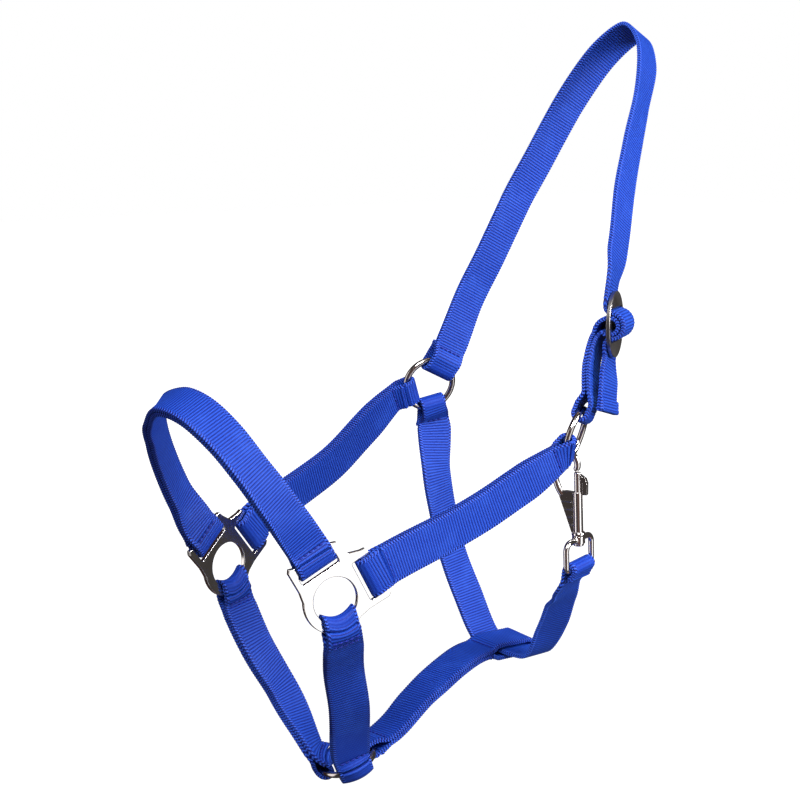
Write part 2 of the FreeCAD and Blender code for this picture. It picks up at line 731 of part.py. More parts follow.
def snap_bolt():
    """Sliding bolt with the flag-shaped thumb knob beside it."""
    shaft = Part.makeCylinder(BOLT_RADIUS, BOLT_TIP - BOLT_FOOT, V(0, 0, BOLT_FOOT))
    tip = [e for e in flat_edges(shaft, "Z") if e.BoundBox.ZMin > BOLT_FOOT + 1]
    shaft = shaft.makeFillet(BOLT_TIP_ROUND, tip)
    low = V(0, -THUMB_WEB / 2, THUMB_WEB_FOOT)
    web = Part.makeBox(THUMB_WEB_REACH, THUMB_WEB, THUMB_WEB_HEIGHT, low)
    knob = profile(KNOB_PROFILE, KNOB_THICKNESS)
    return in_snap(shaft.multiFuse([web, knob]).removeSplitter())


def snap_spring():
    """Coil spring under the bolt, drawn as its closed coils."""
    foot = BORE_FLOOR + SPRING_WIRE + SPRING_CLEARANCE
    pitch = (BOLT_FOOT - SPRING_WIRE - SPRING_CLEARANCE - foot) / (SPRING_COILS - 1)
    turns = [
        Part.makeTorus(SPRING_RADIUS, SPRING_WIRE, V(0, 0, foot + i * pitch))
        for i in range(SPRING_COILS)
    ]
    return in_snap(Part.makeCompound(turns))


def swivel_post():
    low = V(0, 0, -POST_DROP - POST_HEAD_HEIGHT)
    head = Part.makeCylinder(POST_HEAD_RADIUS, POST_HEAD_HEIGHT, low)
    rim = [e for e in flat_edges(head, "Z") if e.BoundBox.ZMax < -POST_DROP - 1]
    head = head.makeFillet(POST_HEAD_ROUND, rim)
    return in_snap(post_shank(POST_TOP).fuse(head).removeSplitter())


def swivel_eye():
    """Rectangular eye with rounded corners, its upper bar carrying a hub for the post."""
    half, top, foot = EYE_HALF_WIDTH, EYE_TOP, EYE_FOOT
    upper, lower = EYE_CORNERS
    pieces = [
        Part.makeCylinder(EYE_WIRE, 2 * (half - upper), V(upper - half, 0, top), V(1, 0, 0)),
        Part.makeCylinder(EYE_WIRE, 2 * (half - lower), V(lower - half, 0, foot), V(1, 0, 0)),
    ]
    for way in (-1, 1):
        height = top - upper - foot - lower
        pieces.append(Part.makeCylinder(EYE_WIRE, height, V(way * half, 0, foot + lower)))
    corners = (
        (upper, half - upper, top - upper, 0),
        (lower, half - lower, foot + lower, 90),
        (lower, lower - half, foot + lower, 180),
        (upper, upper - half, top - upper, 270),
    )
    for radius, x, z, turned in corners:
        bend = Part.makeTorus(radius, EYE_WIRE, V(), V(0, 1, 0), -180, 180, 90)
        bend.rotate(V(), V(0, 1, 0), turned)
        bend.translate(V(x, 0, z))
        pieces.append(bend)
    hub = Part.makeCylinder(HUB_RADIUS, HUB_HEIGHT, V(0, 0, -POST_DROP + 0.1))
    bore = Part.makeCylinder(POST_RADIUS + RUNNING_CLEARANCE, 12, V(0, 0, -14))
    eye = hub.multiFuse(pieces).cut(bore).removeSplitter()
    return placed(eye, SNAP_FOOT, EYE_ACROSS, SNAP_UP.cross(EYE_ACROSS))


# ---------------------------------------------------------------- the whole halter

def webbing():
    nodes = {}
    doubled = {
        "noseband": (noseband(), 1),
        "near_cheek": (cheek_strap(NEAR, NEAR_RING, 208), -1),
        "far_cheek": (cheek_strap(FAR, FAR_RING, 197), -1),
        "near_chin": (chin_strap(NEAR), -1),
        "far_chin": (chin_strap(FAR), -1),
        "jaw": (jaw_strap(), 1),
    }
    for name, (strap, face) in doubled.items():
        nodes[name + "_looped_ply"] = strap.looped_ply(face)
        nodes[name + "_covering_ply"] = strap.covering_ply(face)
    nodes["buckle_chape"] = chape_loop()
    throat = throat_strap()
    cut = throat.run.at[throat.run.points.index(KEEPER_OUT[0])]
    nodes["throat_strap"] = throat.first_single(1, cut)
    nodes["throat_strap_near_end"] = throat.last_single(1, cut + CUT_GAP)
    crown = crown_strap()
    tail_from = crown.run.at[-3]
    nodes["crown_strap"] = crown.first_single(-1, tail_from)
    nodes["crown_strap_tail"] = ribbon(
        crown.strand(crown.single(-1), tail_from + CUT_GAP, crown.length)
    )
    return nodes


def metal():
    return {
        "near_cheek_plate": plate(NEAR),
        "far_cheek_plate": plate(FAR),
        "near_ring": NEAR_RING.solid(),
        "far_ring": FAR_RING.solid(),
        "chin_ring": CHIN_RING.solid(),
        "slide": slide(),
        "snap_body": snap_body(),
        "snap_bolt": snap_bolt(),
        "snap_spring": snap_spring(),
        "swivel_post": swivel_post(),
        "swivel_eye": swivel_eye(),
    }


os.makedirs("parts", exist_ok=True)
for name, shape in {**webbing(), **metal()}.items():
    shape.exportStep("parts/" + name + ".step")
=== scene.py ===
import math

import bpy
import numpy as np
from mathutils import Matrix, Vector

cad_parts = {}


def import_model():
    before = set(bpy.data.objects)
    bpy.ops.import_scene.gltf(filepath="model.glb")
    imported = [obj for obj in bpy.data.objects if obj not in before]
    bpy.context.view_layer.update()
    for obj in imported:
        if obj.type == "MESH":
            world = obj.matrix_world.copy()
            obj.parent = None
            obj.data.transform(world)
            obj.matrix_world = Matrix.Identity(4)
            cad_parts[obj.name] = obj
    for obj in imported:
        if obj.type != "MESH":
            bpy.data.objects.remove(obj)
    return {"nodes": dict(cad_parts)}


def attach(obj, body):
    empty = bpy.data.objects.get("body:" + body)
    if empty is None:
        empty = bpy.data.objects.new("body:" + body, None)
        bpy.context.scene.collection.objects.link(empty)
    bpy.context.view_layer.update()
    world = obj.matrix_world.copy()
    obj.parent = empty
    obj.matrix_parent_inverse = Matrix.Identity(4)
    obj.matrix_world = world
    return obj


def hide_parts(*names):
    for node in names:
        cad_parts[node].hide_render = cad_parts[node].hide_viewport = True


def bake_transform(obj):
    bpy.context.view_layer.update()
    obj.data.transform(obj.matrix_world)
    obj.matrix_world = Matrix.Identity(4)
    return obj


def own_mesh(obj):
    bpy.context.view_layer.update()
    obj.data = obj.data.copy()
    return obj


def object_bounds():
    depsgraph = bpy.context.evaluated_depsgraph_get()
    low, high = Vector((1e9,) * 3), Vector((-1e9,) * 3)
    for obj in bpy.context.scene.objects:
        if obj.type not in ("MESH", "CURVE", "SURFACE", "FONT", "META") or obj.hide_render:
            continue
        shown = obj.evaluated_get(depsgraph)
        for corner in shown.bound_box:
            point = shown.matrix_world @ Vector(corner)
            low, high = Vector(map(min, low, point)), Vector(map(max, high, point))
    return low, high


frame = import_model()
CAD_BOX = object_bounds()

# Visual model of the webbing head halter. Lengths below are in millimetres, in the row frame;
# meshes are written in metres. Metal parts keep their CAD meshes and get materials here.

MM = 0.001
NEAR, FAR = -1, 1
UP = np.array([0.0, 0.0, 1.0])

# webbing
WEB_WIDTH = 25.0
PLY = 2.8  # thickness of one ply
PLY_GAP = 0.2  # air between two sewn plies
HALF_PAIR = (PLY + PLY_GAP) / 2  # offset of each ply from a doubled strap's middle
RETURN_END = 4.4  # how far a looped ply comes back past its bar
CHEEK_RETURN = 10.0  # the same for a cheek strap at its plate
RING_RETURN, EYE_RETURN = 16.0, 7.0  # and for the throat and crown straps
KEEPER_RETURN = 34.0  # and for the jaw strap's keeper
PLY_END_GAP = 0.4  # between its end and the covering ply
DRIFT = 0.22

# ribs, plaited edges and seams
RIB = 1.85  # spacing of the ribs along the webbing
RIB_HEIGHT = 0.18
RIB_ROUNDING = 0.7  # power of a rib's wave: broad crests, narrow valleys
RIB_STEPS = 5  # sections per rib
PLAIT_HEIGHT = 0.15
YARN_PITCH = 0.95  # spacing of the yarns across the webbing
CORNER = 0.55  # rounding of the webbing's long edges
SELVEDGE = 2.2  # width of the plaited band along each edge of a face
FACE_POINTS, EDGE_POINTS = 15, 5
FOLD_RIBS, PRESSED_RIBS = 0.3, 0.2  # share of the rib height left in folds and where pressed
FOLD_FADE = 3.0  # length over which ribs fade into a fold
PRESSED_FADE = (8.0, 4.0)  # the same where a pressed length starts and stops
CREASE_DEPTH, CREASE_WIDTH = 0.55, 1.1  # where a row of stitches pulls the face in
SWELL_HEIGHT, SWELL_AT, SWELL_WIDTH = 0.5, 1.6, 1.3  # a heat-sealed end is thicker just inside
ROUND_DEPTH, ROUND_WIDTH = 0.7, 0.5  # and rounded at its edge
HEM_THICKNESS, HEM_FADE = 1.3, 1.5
TAIL_HEM = 9.0  # length turned under at the crown strap's free end
RING_SEAM, EYE_SEAM, HEM_SEAM = 14.0, 9.0, 7.5  # stitch rows, from ring, eye, cut end

# thread
THREAD_RADIUS = 0.42
STITCH_RISE, STITCH_DIP = 0.42, 0.35  # height of a stitch's middle, depth of its ends
STITCH_BEDDING = 0.25  # how deep the whole stitch is pulled in
STITCH_LENGTH, STITCH_PITCH = 2.7, 3.6
STITCH_REACH = 10.2  # half the length of a row of stitches
RING_SEAM_REACH = 7.0  # the same where the throat strap is gathered


def vec(*v):
    return np.array(v, float)


def unit(v):
    return v / np.linalg.norm(v)


def rows_unit(a):
    return a / np.linalg.norm(a, axis=1)[:, None]


def across(v, axis):
    """The direction of v with its part along axis taken out."""
    return unit(v - axis * v.dot(axis))


def rows_across(rows, axes):
    """The same, row by row."""
    return rows_unit(rows - axes * np.sum(rows * axes, axis=1)[:, None])


def distances(points):
    """How far along a line of points each of them lies."""
    return np.concatenate([[0], np.cumsum(np.linalg.norm(np.diff(points, axis=0), axis=1))])


def read_rows(at, known, rows):
    """Rows read off at distances at, between those at the known distances."""
    return np.stack([np.interp(at, known, column) for column in rows.T], axis=1)


def smooth(t):
    t = np.clip(t, 0.0, 1.0)
    return t * t * (3 - 2 * t)


# ---- fittings the straps hang on

PLATE_HALF_SPAN, PLATE_FLARE = 57.0, 12.0  # half the span, and degrees a plate opens back
PLATE_THICKNESS = 3.0
HOLE_RADIUS, EYE_RADIUS = 14.0, 20.3
SLOT_OUTER, SLOT_BAR = 25.3, 30.0  # both edges of the bar beyond a slot, from the hole's centre
SLOT_TURN = 0.8  # fold centre, past the bar's inner edge
PLATE_LEAN = {NEAR: 17.0, FAR: 4.0}  # degrees each plate's notch points back
SLOT_SPREAD = 45.0  # degrees from the notch to each slot's middle
RING_RADIUS, WIRE_RADIUS = 17.0, 2.0
FIT = 0.3  # slack between webbing and the metal it is looped on
RING_SLACK, SLOT_SLACK = 0.9, 0.5
SLIDE_THICKNESS = 2.5
EYE_WIRE, EYE_FOOT = 1.9, -22.5  # swivel eye: wire radius, bar below the snap

# fold radii, to the ply's middle
RING_FOLD = WIRE_RADIUS + RING_SLACK + PLY / 2
SLOT_FOLD = PLATE_THICKNESS / 2 + SLOT_SLACK + PLY / 2
HOLE_FOLD = SLOT_FOLD + 0.2
CHIN_FOLD = RING_FOLD + 0.4
CHAPE_FOLD = 5.3
CROWN_FOLD = CHAPE_FOLD + PLY + 0.25


class Ring:
    """Centre, axis and the two directions in the plane of a round ring."""

    def __init__(self, centre, axis, level):
        self.centre = centre
        self.axis = unit(axis)
        self.level = across(level, self.axis)
        self.up = np.cross(self.level, self.axis)
        if self.up.dot(vec(0, 1, 2)) < 0:
            self.up = -self.up

    def out(self, degrees):
        a = math.radians(degrees)
        return self.level * math.cos(a) + self.up * math.sin(a)

    def straight_bar(self, degrees, width):
        reach = math.sqrt(RING_RADIUS ** 2 - (width / 2) ** 2)
        return self.centre + self.out(degrees) * reach, RING_RADIUS - reach


NEAR_RING = Ring(vec(179, -68, 80), vec(0.5, -0.82, -0.28), vec(0.854, 0.521, 0))
FAR_RING = Ring(vec(171, 68, 97), vec(0.26, 0.94, 0.235), vec(0.964, -0.266, 0))
CHIN_RING = Ring(vec(51, 0, -122.5), vec(-0.37, 0, 0.93), vec(0.93, 0, 0.37))

SLIDE_CENTRE = vec(208, -72, 148)
SLIDE_OUT = unit(vec(0.52, -0.85, 0))
SLIDE_ACROSS = -np.cross(SLIDE_OUT, UP)
SNAP_FOOT = vec(184, -67, 17)
SNAP_UP = unit(vec(-0.06, -0.02, 1))
SNAP_ACROSS = across(vec(0.52, -0.85, 0), SNAP_UP)
EYE_ACROSS = across(vec(0.956, 0.292, 0), SNAP_UP)
SPRING_RADIUS, SPRING_WIRE = 1.75, 0.35
SPRING_FOOT, SPRING_TOP = 5.4, 15.6  # wire middles, along the barrel from its lower end
SPRING_TURNS = 5

KEEPER_IN = (vec(192, 31, -74.4), vec(1, 0.1, 0))
KEEPER_MIDDLE = (vec(193.6, 15, -75.8), vec(1, 0.1, 0))
KEEPER_OUT = (vec(195.2, -1, -77.2), vec(1, 0.1, 0))
KEEPER_REACH, KEEPER_SLACK = 12.0, 1.3  # half its length, room round the throat strap

# width a strap gathers to in its fold
CHEEK_FOLD_WIDTH, THROAT_FOLD_WIDTH = 17.0, 17.0
JAW_FOLD_WIDTH, CHAPE_FOLD_WIDTH, CROWN_FOLD_WIDTH = 20.0, 20.0, 22.0
HOLE_FOLD_WIDTH, CHIN_FOLD_WIDTH = 21.0, 21.5
# degrees round the ring where a strap leaves it
CHEEK_RING_ANGLE = {NEAR: 208.0, FAR: 197.0}
CHIN_RING_ANGLE = {NEAR: -109.0, FAR: 135.0}
THROAT_RING_ANGLE, CHAPE_RING_ANGLE, CROWN_RING_ANGLE = 283.0, 75.0, 63.0
CHEEK_TILT = {NEAR: 0.0, FAR: -0.2}
CHIN_PULL = {NEAR: 12.0, FAR: 17.0}  # degrees off straight down at the plate
CHIN_RUN = {
    NEAR: [(16, -44, -49), (26.5, -35, -76)],
    FAR: [(13.5, 46, -52), (27, 36, -82)],
}
EYE_LEAVE = vec(0.2, 0.59, -0.78)  # the way the throat strap leaves the swivel eye
CHAPE_SEAM = 24.0  # the chape's two ends meet this far from the near ring
CLOSING_LENGTH = 9.0  # two plies come together over this length past their bar
GATHER_LENGTH, CHEEK_GATHER = 20.0, 40.0  # webbing narrows over this length
BOW_LENGTH = 13.0  # the curve across the webbing dies out over this length
FOLD_SECTIONS = 24

# the crown strap's way through the slide: outward from the slide and up from its middle
BEHIND_SLIDE, SLIDE_REACH = -3.3, 15.0
SLIDE_PASS = ((-3.15, 11.2), (-1.7, 8.8), (1.5, 8.2))  # from behind the end bar to the roll
ROLL_ANGLES = range(30, 151, 15)
TAIL_START = 21.6


def plate_frame(side):
    a = math.radians(PLATE_FLARE)
    back = vec(math.cos(a), side * math.sin(a), 0)
    out = vec(-math.sin(a), side * math.cos(a), 0)
    return vec(0, side * PLATE_HALF_SPAN, 0), back, out


def plate_direction(side, degrees):
    centre, back, out = plate_frame(side)
    a = math.radians(degrees)
    return back * math.sin(a) + UP * math.cos(a)


# ---- the middle line of a strap

class Run:
    """A smooth curve through stations, with its side direction."""

    STEP = 0.4

    def __init__(self, stations):
        self.points = np.array([s[0] for s in stations], float)
        self.sides = rows_unit(np.array([s[1] for s in stations], float))
        self.at = distances(self.points)
        self.length = self.at[-1]
        self.sample()

    def slopes(self):
        n = len(self.points)
        lo = np.maximum(np.arange(n) - 1, 0)
        hi = np.minimum(np.arange(n) + 1, n - 1)
        return (self.points[hi] - self.points[lo]) / (self.at[hi] - self.at[lo])[:, None]

    def sample(self):
        """The curve at closely spaced distances; bends are eased away from the ends."""
        count = int(self.length / self.STEP) + 2
        self.s = np.linspace(0, self.length, count)
        i = np.clip(np.searchsorted(self.at, self.s, side="right") - 1, 0, len(self.at) - 2)
        span = (self.at[i + 1] - self.at[i])[:, None]
        t = ((self.s - self.at[i])[:, None]) / span
        p, q = self.points[i], self.points[i + 1]
        m, n = self.slopes()[i] * span, self.slopes()[i + 1] * span
        self.p = (p * (2 * t ** 3 - 3 * t ** 2 + 1) + m * (t ** 3 - 2 * t ** 2 + t)
                  + q * (3 * t ** 2 - 2 * t ** 3) + n * (t ** 3 - t ** 2))
        tangent = (p * (6 * t ** 2 - 6 * t) + m * (3 * t ** 2 - 4 * t + 1)
                   + q * (6 * t - 6 * t ** 2) + n * (3 * t ** 2 - 2 * t))
        self.t = rows_unit(tangent)
        blend = smooth(t)
        side = self.sides[i] * (1 - blend) + self.sides[i + 1] * blend
        self.side = rows_across(side, self.t)

    def frame(self, s):
        """Points, tangents, sides and normals at distances s."""
        s = np.atleast_1d(s)
        tangent = rows_unit(read_rows(s, self.s, self.t))
        side = rows_across(read_rows(s, self.s, self.side), tangent)
        return read_rows(s, self.s, self.p), tangent, side, np.cross(side, tangent)


class End:
    """How a strap is held at one end."""

    def __init__(self, fold, hold, width=WEB_WIDTH, circle=None, way=None, back=RETURN_END,
                 gather=GATHER_LENGTH):
        self.fold, self.hold, self.width = fold, hold, width
        self.circle, self.back, self.gather = circle, back, gather
        self.way = np.zeros(3) if way is None else way

    def closing(self, s):
        return smooth((s - self.hold) / CLOSING_LENGTH)

    def width_at(self, s):
        return self.width + (WEB_WIDTH - self.width) * smooth(s / self.gather)

    def bow_at(self, s):
        if not self.circle:
            return s * 0.0
        half = self.width_at(s) / 2
        return (self.circle - np.sqrt(self.circle ** 2 - half ** 2)) * (1 - smooth(s / BOW_LENGTH))


class Strap:
    """Webbing along a run; an end is None where the webbing is simply cut off."""

    def __init__(self, stations, first, last):
        self.run = Run(stations)
        self.length = self.run.length
        self.ends = (first, last)

    def each_end(self, s, value, free=0.0):
        """value(end, distance past it) for the nearer end of each s."""
        first, last = self.ends
        a = value(first, s) if first else free
        b = value(last, self.length - s) if last else free
        return np.where(s < self.length / 2, a, b)

    def paired(self, face):
        """Offset of a ply that goes round the bars and lies against its other half between them."""
        return lambda s: face * self.each_end(
            s, lambda e, d: e.fold + (HALF_PAIR - e.fold) * e.closing(d))

    def single(self, face):
        """Offset of a lone ply: on the strap's middle, but clear of each bar."""
        return lambda s: -face * self.each_end(s, lambda e, d: e.fold * (1 - e.closing(d)))

    def turned_back(self, face):
        """Offset of a lone ply's end where it lies back on the ply it comes from."""
        return lambda s: self.single(face)(s) + face * self.each_end(
            s, lambda e, d: 2 * e.fold + (PLY + PLY_GAP - 2 * e.fold) * e.closing(d))

    def bow_way(self, s):
        ways = [e.way if e else np.zeros(3) for e in self.ends]
        return np.where((s < self.length / 2)[:, None], ways[0], ways[1])

    def strand(self, offset, start, stop):
        """Sections of one ply from start to stop: middle, side, normal, width, bow, bow way."""
        s = np.linspace(start, stop, max(3, int(abs(stop - start) / Run.STEP)))
        point, _, side, normal = self.run.frame(s)
        middle = point + normal * offset(s)[:, None]
        width = self.each_end(s, lambda e, d: e.width_at(d), WEB_WIDTH)
        bow = self.each_end(s, lambda e, d: e.bow_at(d))
        return [middle, side, normal, width, bow, self.bow_way(s)]

    def fold(self, last, face):
        """Sections of the half turn round the bar at one end."""
        point, tangent, side, normal = self.run.frame(self.length if last else 0)
        end = self.ends[last]
        outward = tangent if last else -tangent
        a = np.linspace(0, math.pi, FOLD_SECTIONS)[1:-1, None]
        radial = normal * (np.cos(a) * face) + outward * np.sin(a)
        ones = np.ones(len(a))
        bow = end.bow_at(np.zeros(1))[0]
        return [point + radial * end.fold, np.repeat(side, len(a), 0), radial, ones * end.width,
                ones * bow, np.repeat(end.way[None], len(a), 0)]

    def looped(self, face):
        """A ply that turns round both ends, its own ends lying on the given face."""
        first, last = self.ends
        return Ply([
            self.strand(self.paired(face), first.back, 0), self.fold(0, face),
            self.strand(self.paired(-face), 0, self.length), self.fold(1, -face),
            self.strand(self.paired(face), self.length, self.length - last.back),
        ])

    def covering(self, face):
        """The ply sewn on the given face, between the looped ply's ends."""
        start = self.ends[0].back + PLY_END_GAP
        stop = self.length - self.ends[1].back - PLY_END_GAP
        return Ply([self.strand(self.paired(face), start, stop)])

    def single_ply(self, face):
        """One ply turned round each held end, the returns lying on the given face."""
        parts = []
        first, last = self.ends
        if first:
            parts += [self.strand(self.turned_back(face), first.back, 0), self.fold(0, face)]
        parts.append(self.strand(self.single(face), 0, self.length))
        if last:
            parts += [self.fold(1, -face),
                      self.strand(self.turned_back(face), self.length, self.length - last.back)]
        return Ply(parts)


class Ply:
    """One length of webbing: evenly spaced sections along its whole path."""

    def __init__(self, parts):
        columns = [np.concatenate([p[k] for p in parts]) for k in range(6)]
        apart = np.linalg.norm(np.diff(columns[0], axis=0), axis=1)
        keep = np.concatenate([[True], apart > 1e-3])  # a strand starts where the last one stops
        middle, side, normal, width, bow, way = [c[keep] for c in columns]
        travel = rows_unit(np.gradient(middle, axis=0))
        normal = self.facing(travel, side, normal)
        at = distances(middle)
        self.length = at[-1]
        self.joins = np.interp(np.cumsum([len(p[0]) for p in parts])[:-1], np.cumsum(keep), at)
        count = int(round(self.length / RIB * RIB_STEPS))
        self.at = np.linspace(0, self.length, count + 1)

        middle, side, normal, self.way = [read_rows(self.at, at, c) for c in (middle, side, normal, way)]
        self.width, self.bow = np.interp(self.at, at, width), np.interp(self.at, at, bow)
        self.middle = self.eased(middle)
        travel = rows_unit(np.gradient(self.middle, axis=0))
        self.side = rows_across(side, travel)
        self.normal = self.facing(travel, self.side, normal)

    @staticmethod
    def facing(travel, side, normal):
        """Exact normals, on the side the rough ones point to."""
        made = rows_unit(np.cross(side, travel))
        if np.sum(made * normal) < 0:
            made = -made
        return made

    def eased(self, p):
        """Small kinks between strands and folds are rounded off; both ends stay put."""
        span = 3
        kernel = np.hanning(2 * span + 3)[1:-1]
        kernel = kernel / kernel.sum()
        padded = np.concatenate([2 * p[0] - p[span:0:-1], p, 2 * p[-1] - p[-2:-span - 2:-1]])
        return np.stack([np.convolve(padded[:, k], kernel, "valid") for k in range(3)], axis=1)

    def surface(self, at, a, face):
        """Points on one face at distances at and offsets a from the middle, with the frames there."""
        at, a = np.broadcast_arrays(np.atleast_1d(at).astype(float), a)
        middle, side, normal, way = [
            read_rows(at, self.at, c) for c in (self.middle, self.side, self.normal, self.way)]
        side, normal = rows_unit(side), rows_unit(normal)
        half = np.interp(at, self.at, self.width) / 2
        bow = np.interp(at, self.at, self.bow) * (a / half) ** 2
        p = middle + side * a[:, None] + normal * (face * PLY / 2) - way * bow[:, None]
        return p, side, normal


# ---- meshes

def new_object(name, data):
    made = bpy.data.objects.new(name, data)
    bpy.context.scene.collection.objects.link(made)
    return made


def new_mesh(name, points, quads, fans=()):
    """A mesh object from points in millimetres, an array of quads and some many-sided faces."""
    mesh = bpy.data.meshes.new(name)
    mesh.vertices.add(len(points))
    mesh.vertices.foreach_set("co", (np.asarray(points) * MM).astype(np.float32).ravel())
    loops = np.concatenate([np.asarray(quads).ravel()] + [np.asarray(f) for f in fans]).astype(np.int32)
    sizes = np.array([4] * len(quads) + [len(f) for f in fans], np.int32)
    mesh.loops.add(len(loops))
    mesh.loops.foreach_set("vertex_index", loops)
    mesh.polygons.add(len(sizes))
    mesh.polygons.foreach_set("loop_start", np.concatenate([[0], np.cumsum(sizes)[:-1]]).astype(np.int32))
    mesh.polygons.foreach_set("use_smooth", np.ones(len(sizes), bool))
    mesh.update(calc_edges=True)
    mesh.validate()
    return new_object(name, mesh)


def tube_quads(rings, around, start=0):
    """Quads joining rings of points, each ring having the given number of points."""
    i, j = np.meshgrid(np.arange(rings - 1), np.arange(around), indexing="ij")
    k = (j + 1) % around
    here, beyond = i * around + start, (i + 1) * around + start
    return np.stack([here + j, here + k, beyond + k, beyond + j], axis=-1).reshape(-1, 4)


def end_faces(rings, around, start=0):
    """The faces that close both ends of such a tube."""
    last = start + (rings - 1) * around
    return [list(range(start, start + around))[::-1], list(range(last, last + around))]


def circles(beside, above, points):
    """Unit circles, each in the plane of its two directions."""
    turn = np.linspace(0, 2 * np.pi, points, endpoint=False)[:, None]
    return beside[:, None] * np.cos(turn) + above[:, None] * np.sin(turn)


def web_profile():
    """Section outline, clockwise from the left of the upper face.

    Columns: lateral share of the half width, lateral mm beyond it, height mm, and the outward
    direction's lateral and height parts."""
    half = PLY / 2
    band = SELVEDGE / (WEB_WIDTH / 2)
    inner = np.linspace(-1 + band, 1 - band, FACE_POINTS - 4)
    across_face = np.concatenate([[-1, -1 + band / 2], inner, [1 - band / 2, 1]])
    rows = [(u, 0, half, 0, 1) for u in across_face]
    turns = [math.radians(d) for d in (60, 30)]
    corner = [(1, CORNER * math.cos(a), half - CORNER + CORNER * math.sin(a), math.cos(a), math.sin(a))
              for a in turns]
    flat = [(1, CORNER, h, 1, 0) for h in np.linspace(half - CORNER, CORNER - half, EDGE_POINTS)]
    lower = [(u, x, -h, nx, -nh) for u, x, h, nx, nh in corner[::-1]]
    upper_right = np.array(rows + corner + flat + lower, float)
    return np.concatenate([upper_right, -upper_right])


PROFILE = web_profile()


def drift(p):
    """Slow wander of webbing that is never quite flat."""
    return DRIFT * np.sin(p[:, 0] * 0.11 + p[:, 2] * 0.07) * np.sin(p[:, 1] * 0.09 - p[:, 2] * 0.05 + 1.3)


def hem(distance):
    """Lift of a face near a cut end: sealed webbing swells, then rounds off."""
    swell = SWELL_HEIGHT * np.exp(-((distance - SWELL_AT) / SWELL_WIDTH) ** 2)
    return swell - ROUND_DEPTH * np.exp(-(distance / ROUND_WIDTH) ** 2)


def rib_strength(ply, pressed=None):
    """Ribs flatten where webbing turns round a bar, and where it has been pressed smooth."""
    strength = np.ones(len(ply.at))
    for start, stop in zip(ply.joins[::2], ply.joins[1::2]):
        inside = smooth((ply.at - start) / FOLD_FADE + 1) * smooth((stop - ply.at) / FOLD_FADE + 1)
        strength -= (1 - FOLD_RIBS) * inside
    if pressed:
        start, stop = pressed
        fade_in, fade_out = PRESSED_FADE
        inside = smooth((ply.at - start) / fade_in) * smooth((stop - ply.at) / fade_out)
        strength -= (1 - PRESSED_RIBS) * inside
    return np.clip(strength, PRESSED_RIBS, 1)


def relief(ply, lateral, thick, travelled, strength):
    """Height of ribs and plaited edges over the plain section."""
    face = (np.abs(PROFILE[:, 4]) > 0.9)[None]
    along = travelled[:, None] / RIB
    inward = ply.width[:, None] / 2 - np.abs(lateral)
    rib = (np.abs(np.cos(np.pi * travelled / RIB)) ** RIB_ROUNDING - 1) * RIB_HEIGHT * strength
    plait_face = np.cos(2 * np.pi * (along - inward / SELVEDGE * 0.5))
    plait_edge = np.cos(2 * np.pi * (along - 0.5 * np.abs(thick) / (PLY / 2) + 0.25))
    plait = (np.where(face, plait_face, plait_edge) - 1) * PLAIT_HEIGHT * strength[:, None]
    ribbed = face * smooth((inward - SELVEDGE * 0.55) / (SELVEDGE * 0.4))
    return rib[:, None] * ribbed + plait * (1 - ribbed)


def seams(ply, lateral, creases, turned_under, sealed):
    """Height added by stitch rows, sealed ends and a hem turned under."""
    out_height = PROFILE[:, 4][None]
    inward = ply.width[:, None] / 2 - np.abs(lateral)
    push = np.zeros(lateral.shape)
    for at in creases:
        pull = np.exp(-((ply.at - at) / CREASE_WIDTH) ** 2)[:, None]
        push -= CREASE_DEPTH * pull * np.clip(inward / 3, 0.15, 1) * np.abs(out_height)
    if sealed:
        ends = hem(ply.at) + hem(ply.length - ply.at)
        push += ends[:, None] * np.abs(out_height)
    if turned_under:
        behind = smooth((ply.at - ply.length + turned_under) / HEM_FADE)[:, None] * (out_height < -0.3)
        push += HEM_THICKNESS * behind
    return push


def record_weave(piece, ply, lateral, thick, travelled, strength):
    """Store where each point lies in the weave, for the webbing material."""
    even = lateral * (WEB_WIDTH / ply.width[:, None])
    along = np.repeat(travelled[:, None], len(PROFILE), 1)
    weave = np.stack([even, along, thick / (PLY / 2)], axis=-1)
    layer = piece.data.attributes.new("weave", "FLOAT_VECTOR", "POINT")
    layer.data.foreach_set("vector", weave.astype(np.float32).ravel())
    layer = piece.data.attributes.new("ribs", "FLOAT", "POINT")
    layer.data.foreach_set("value", np.repeat(strength, len(PROFILE)).astype(np.float32))


def web_mesh(name, ply, creases=(), pressed=None, turned_under=0.0, sealed=True):
    """A length of ribbed webbing with plaited edges.

    creases are distances where thread pulls it in, pressed is a length worn smooth and
    turned_under is the length of a hem folded behind the far end; sealed ends swell."""
    share, beyond, height, out_x, out_h = PROFILE.T
    n, m = len(ply.at), len(PROFILE)
    travelled = np.arange(n) * (RIB / RIB_STEPS)
    strength = rib_strength(ply, pressed)
    half = ply.width[:, None] / 2
    lateral = share[None] * (half - CORNER) + beyond[None]
    thick = np.repeat(height[None], n, 0)
    push = (relief(ply, lateral, thick, travelled, strength)
            + seams(ply, lateral, creases, turned_under, sealed))
    x = lateral + push * out_x[None]
    h = thick + push * out_h[None] + drift(ply.middle)[:, None]
    bow = ply.bow[:, None] * (x / half) ** 2
    points = (ply.middle[:, None] + ply.side[:, None] * x[..., None]
              + ply.normal[:, None] * h[..., None] - ply.way[:, None] * bow[..., None])
    piece = new_mesh(name, points.reshape(-1, 3), tube_quads(n, m), end_faces(n, m))
    record_weave(piece, ply, lateral, thick, travelled, strength)
    piece.data.materials.append(WEBBING)
    return piece


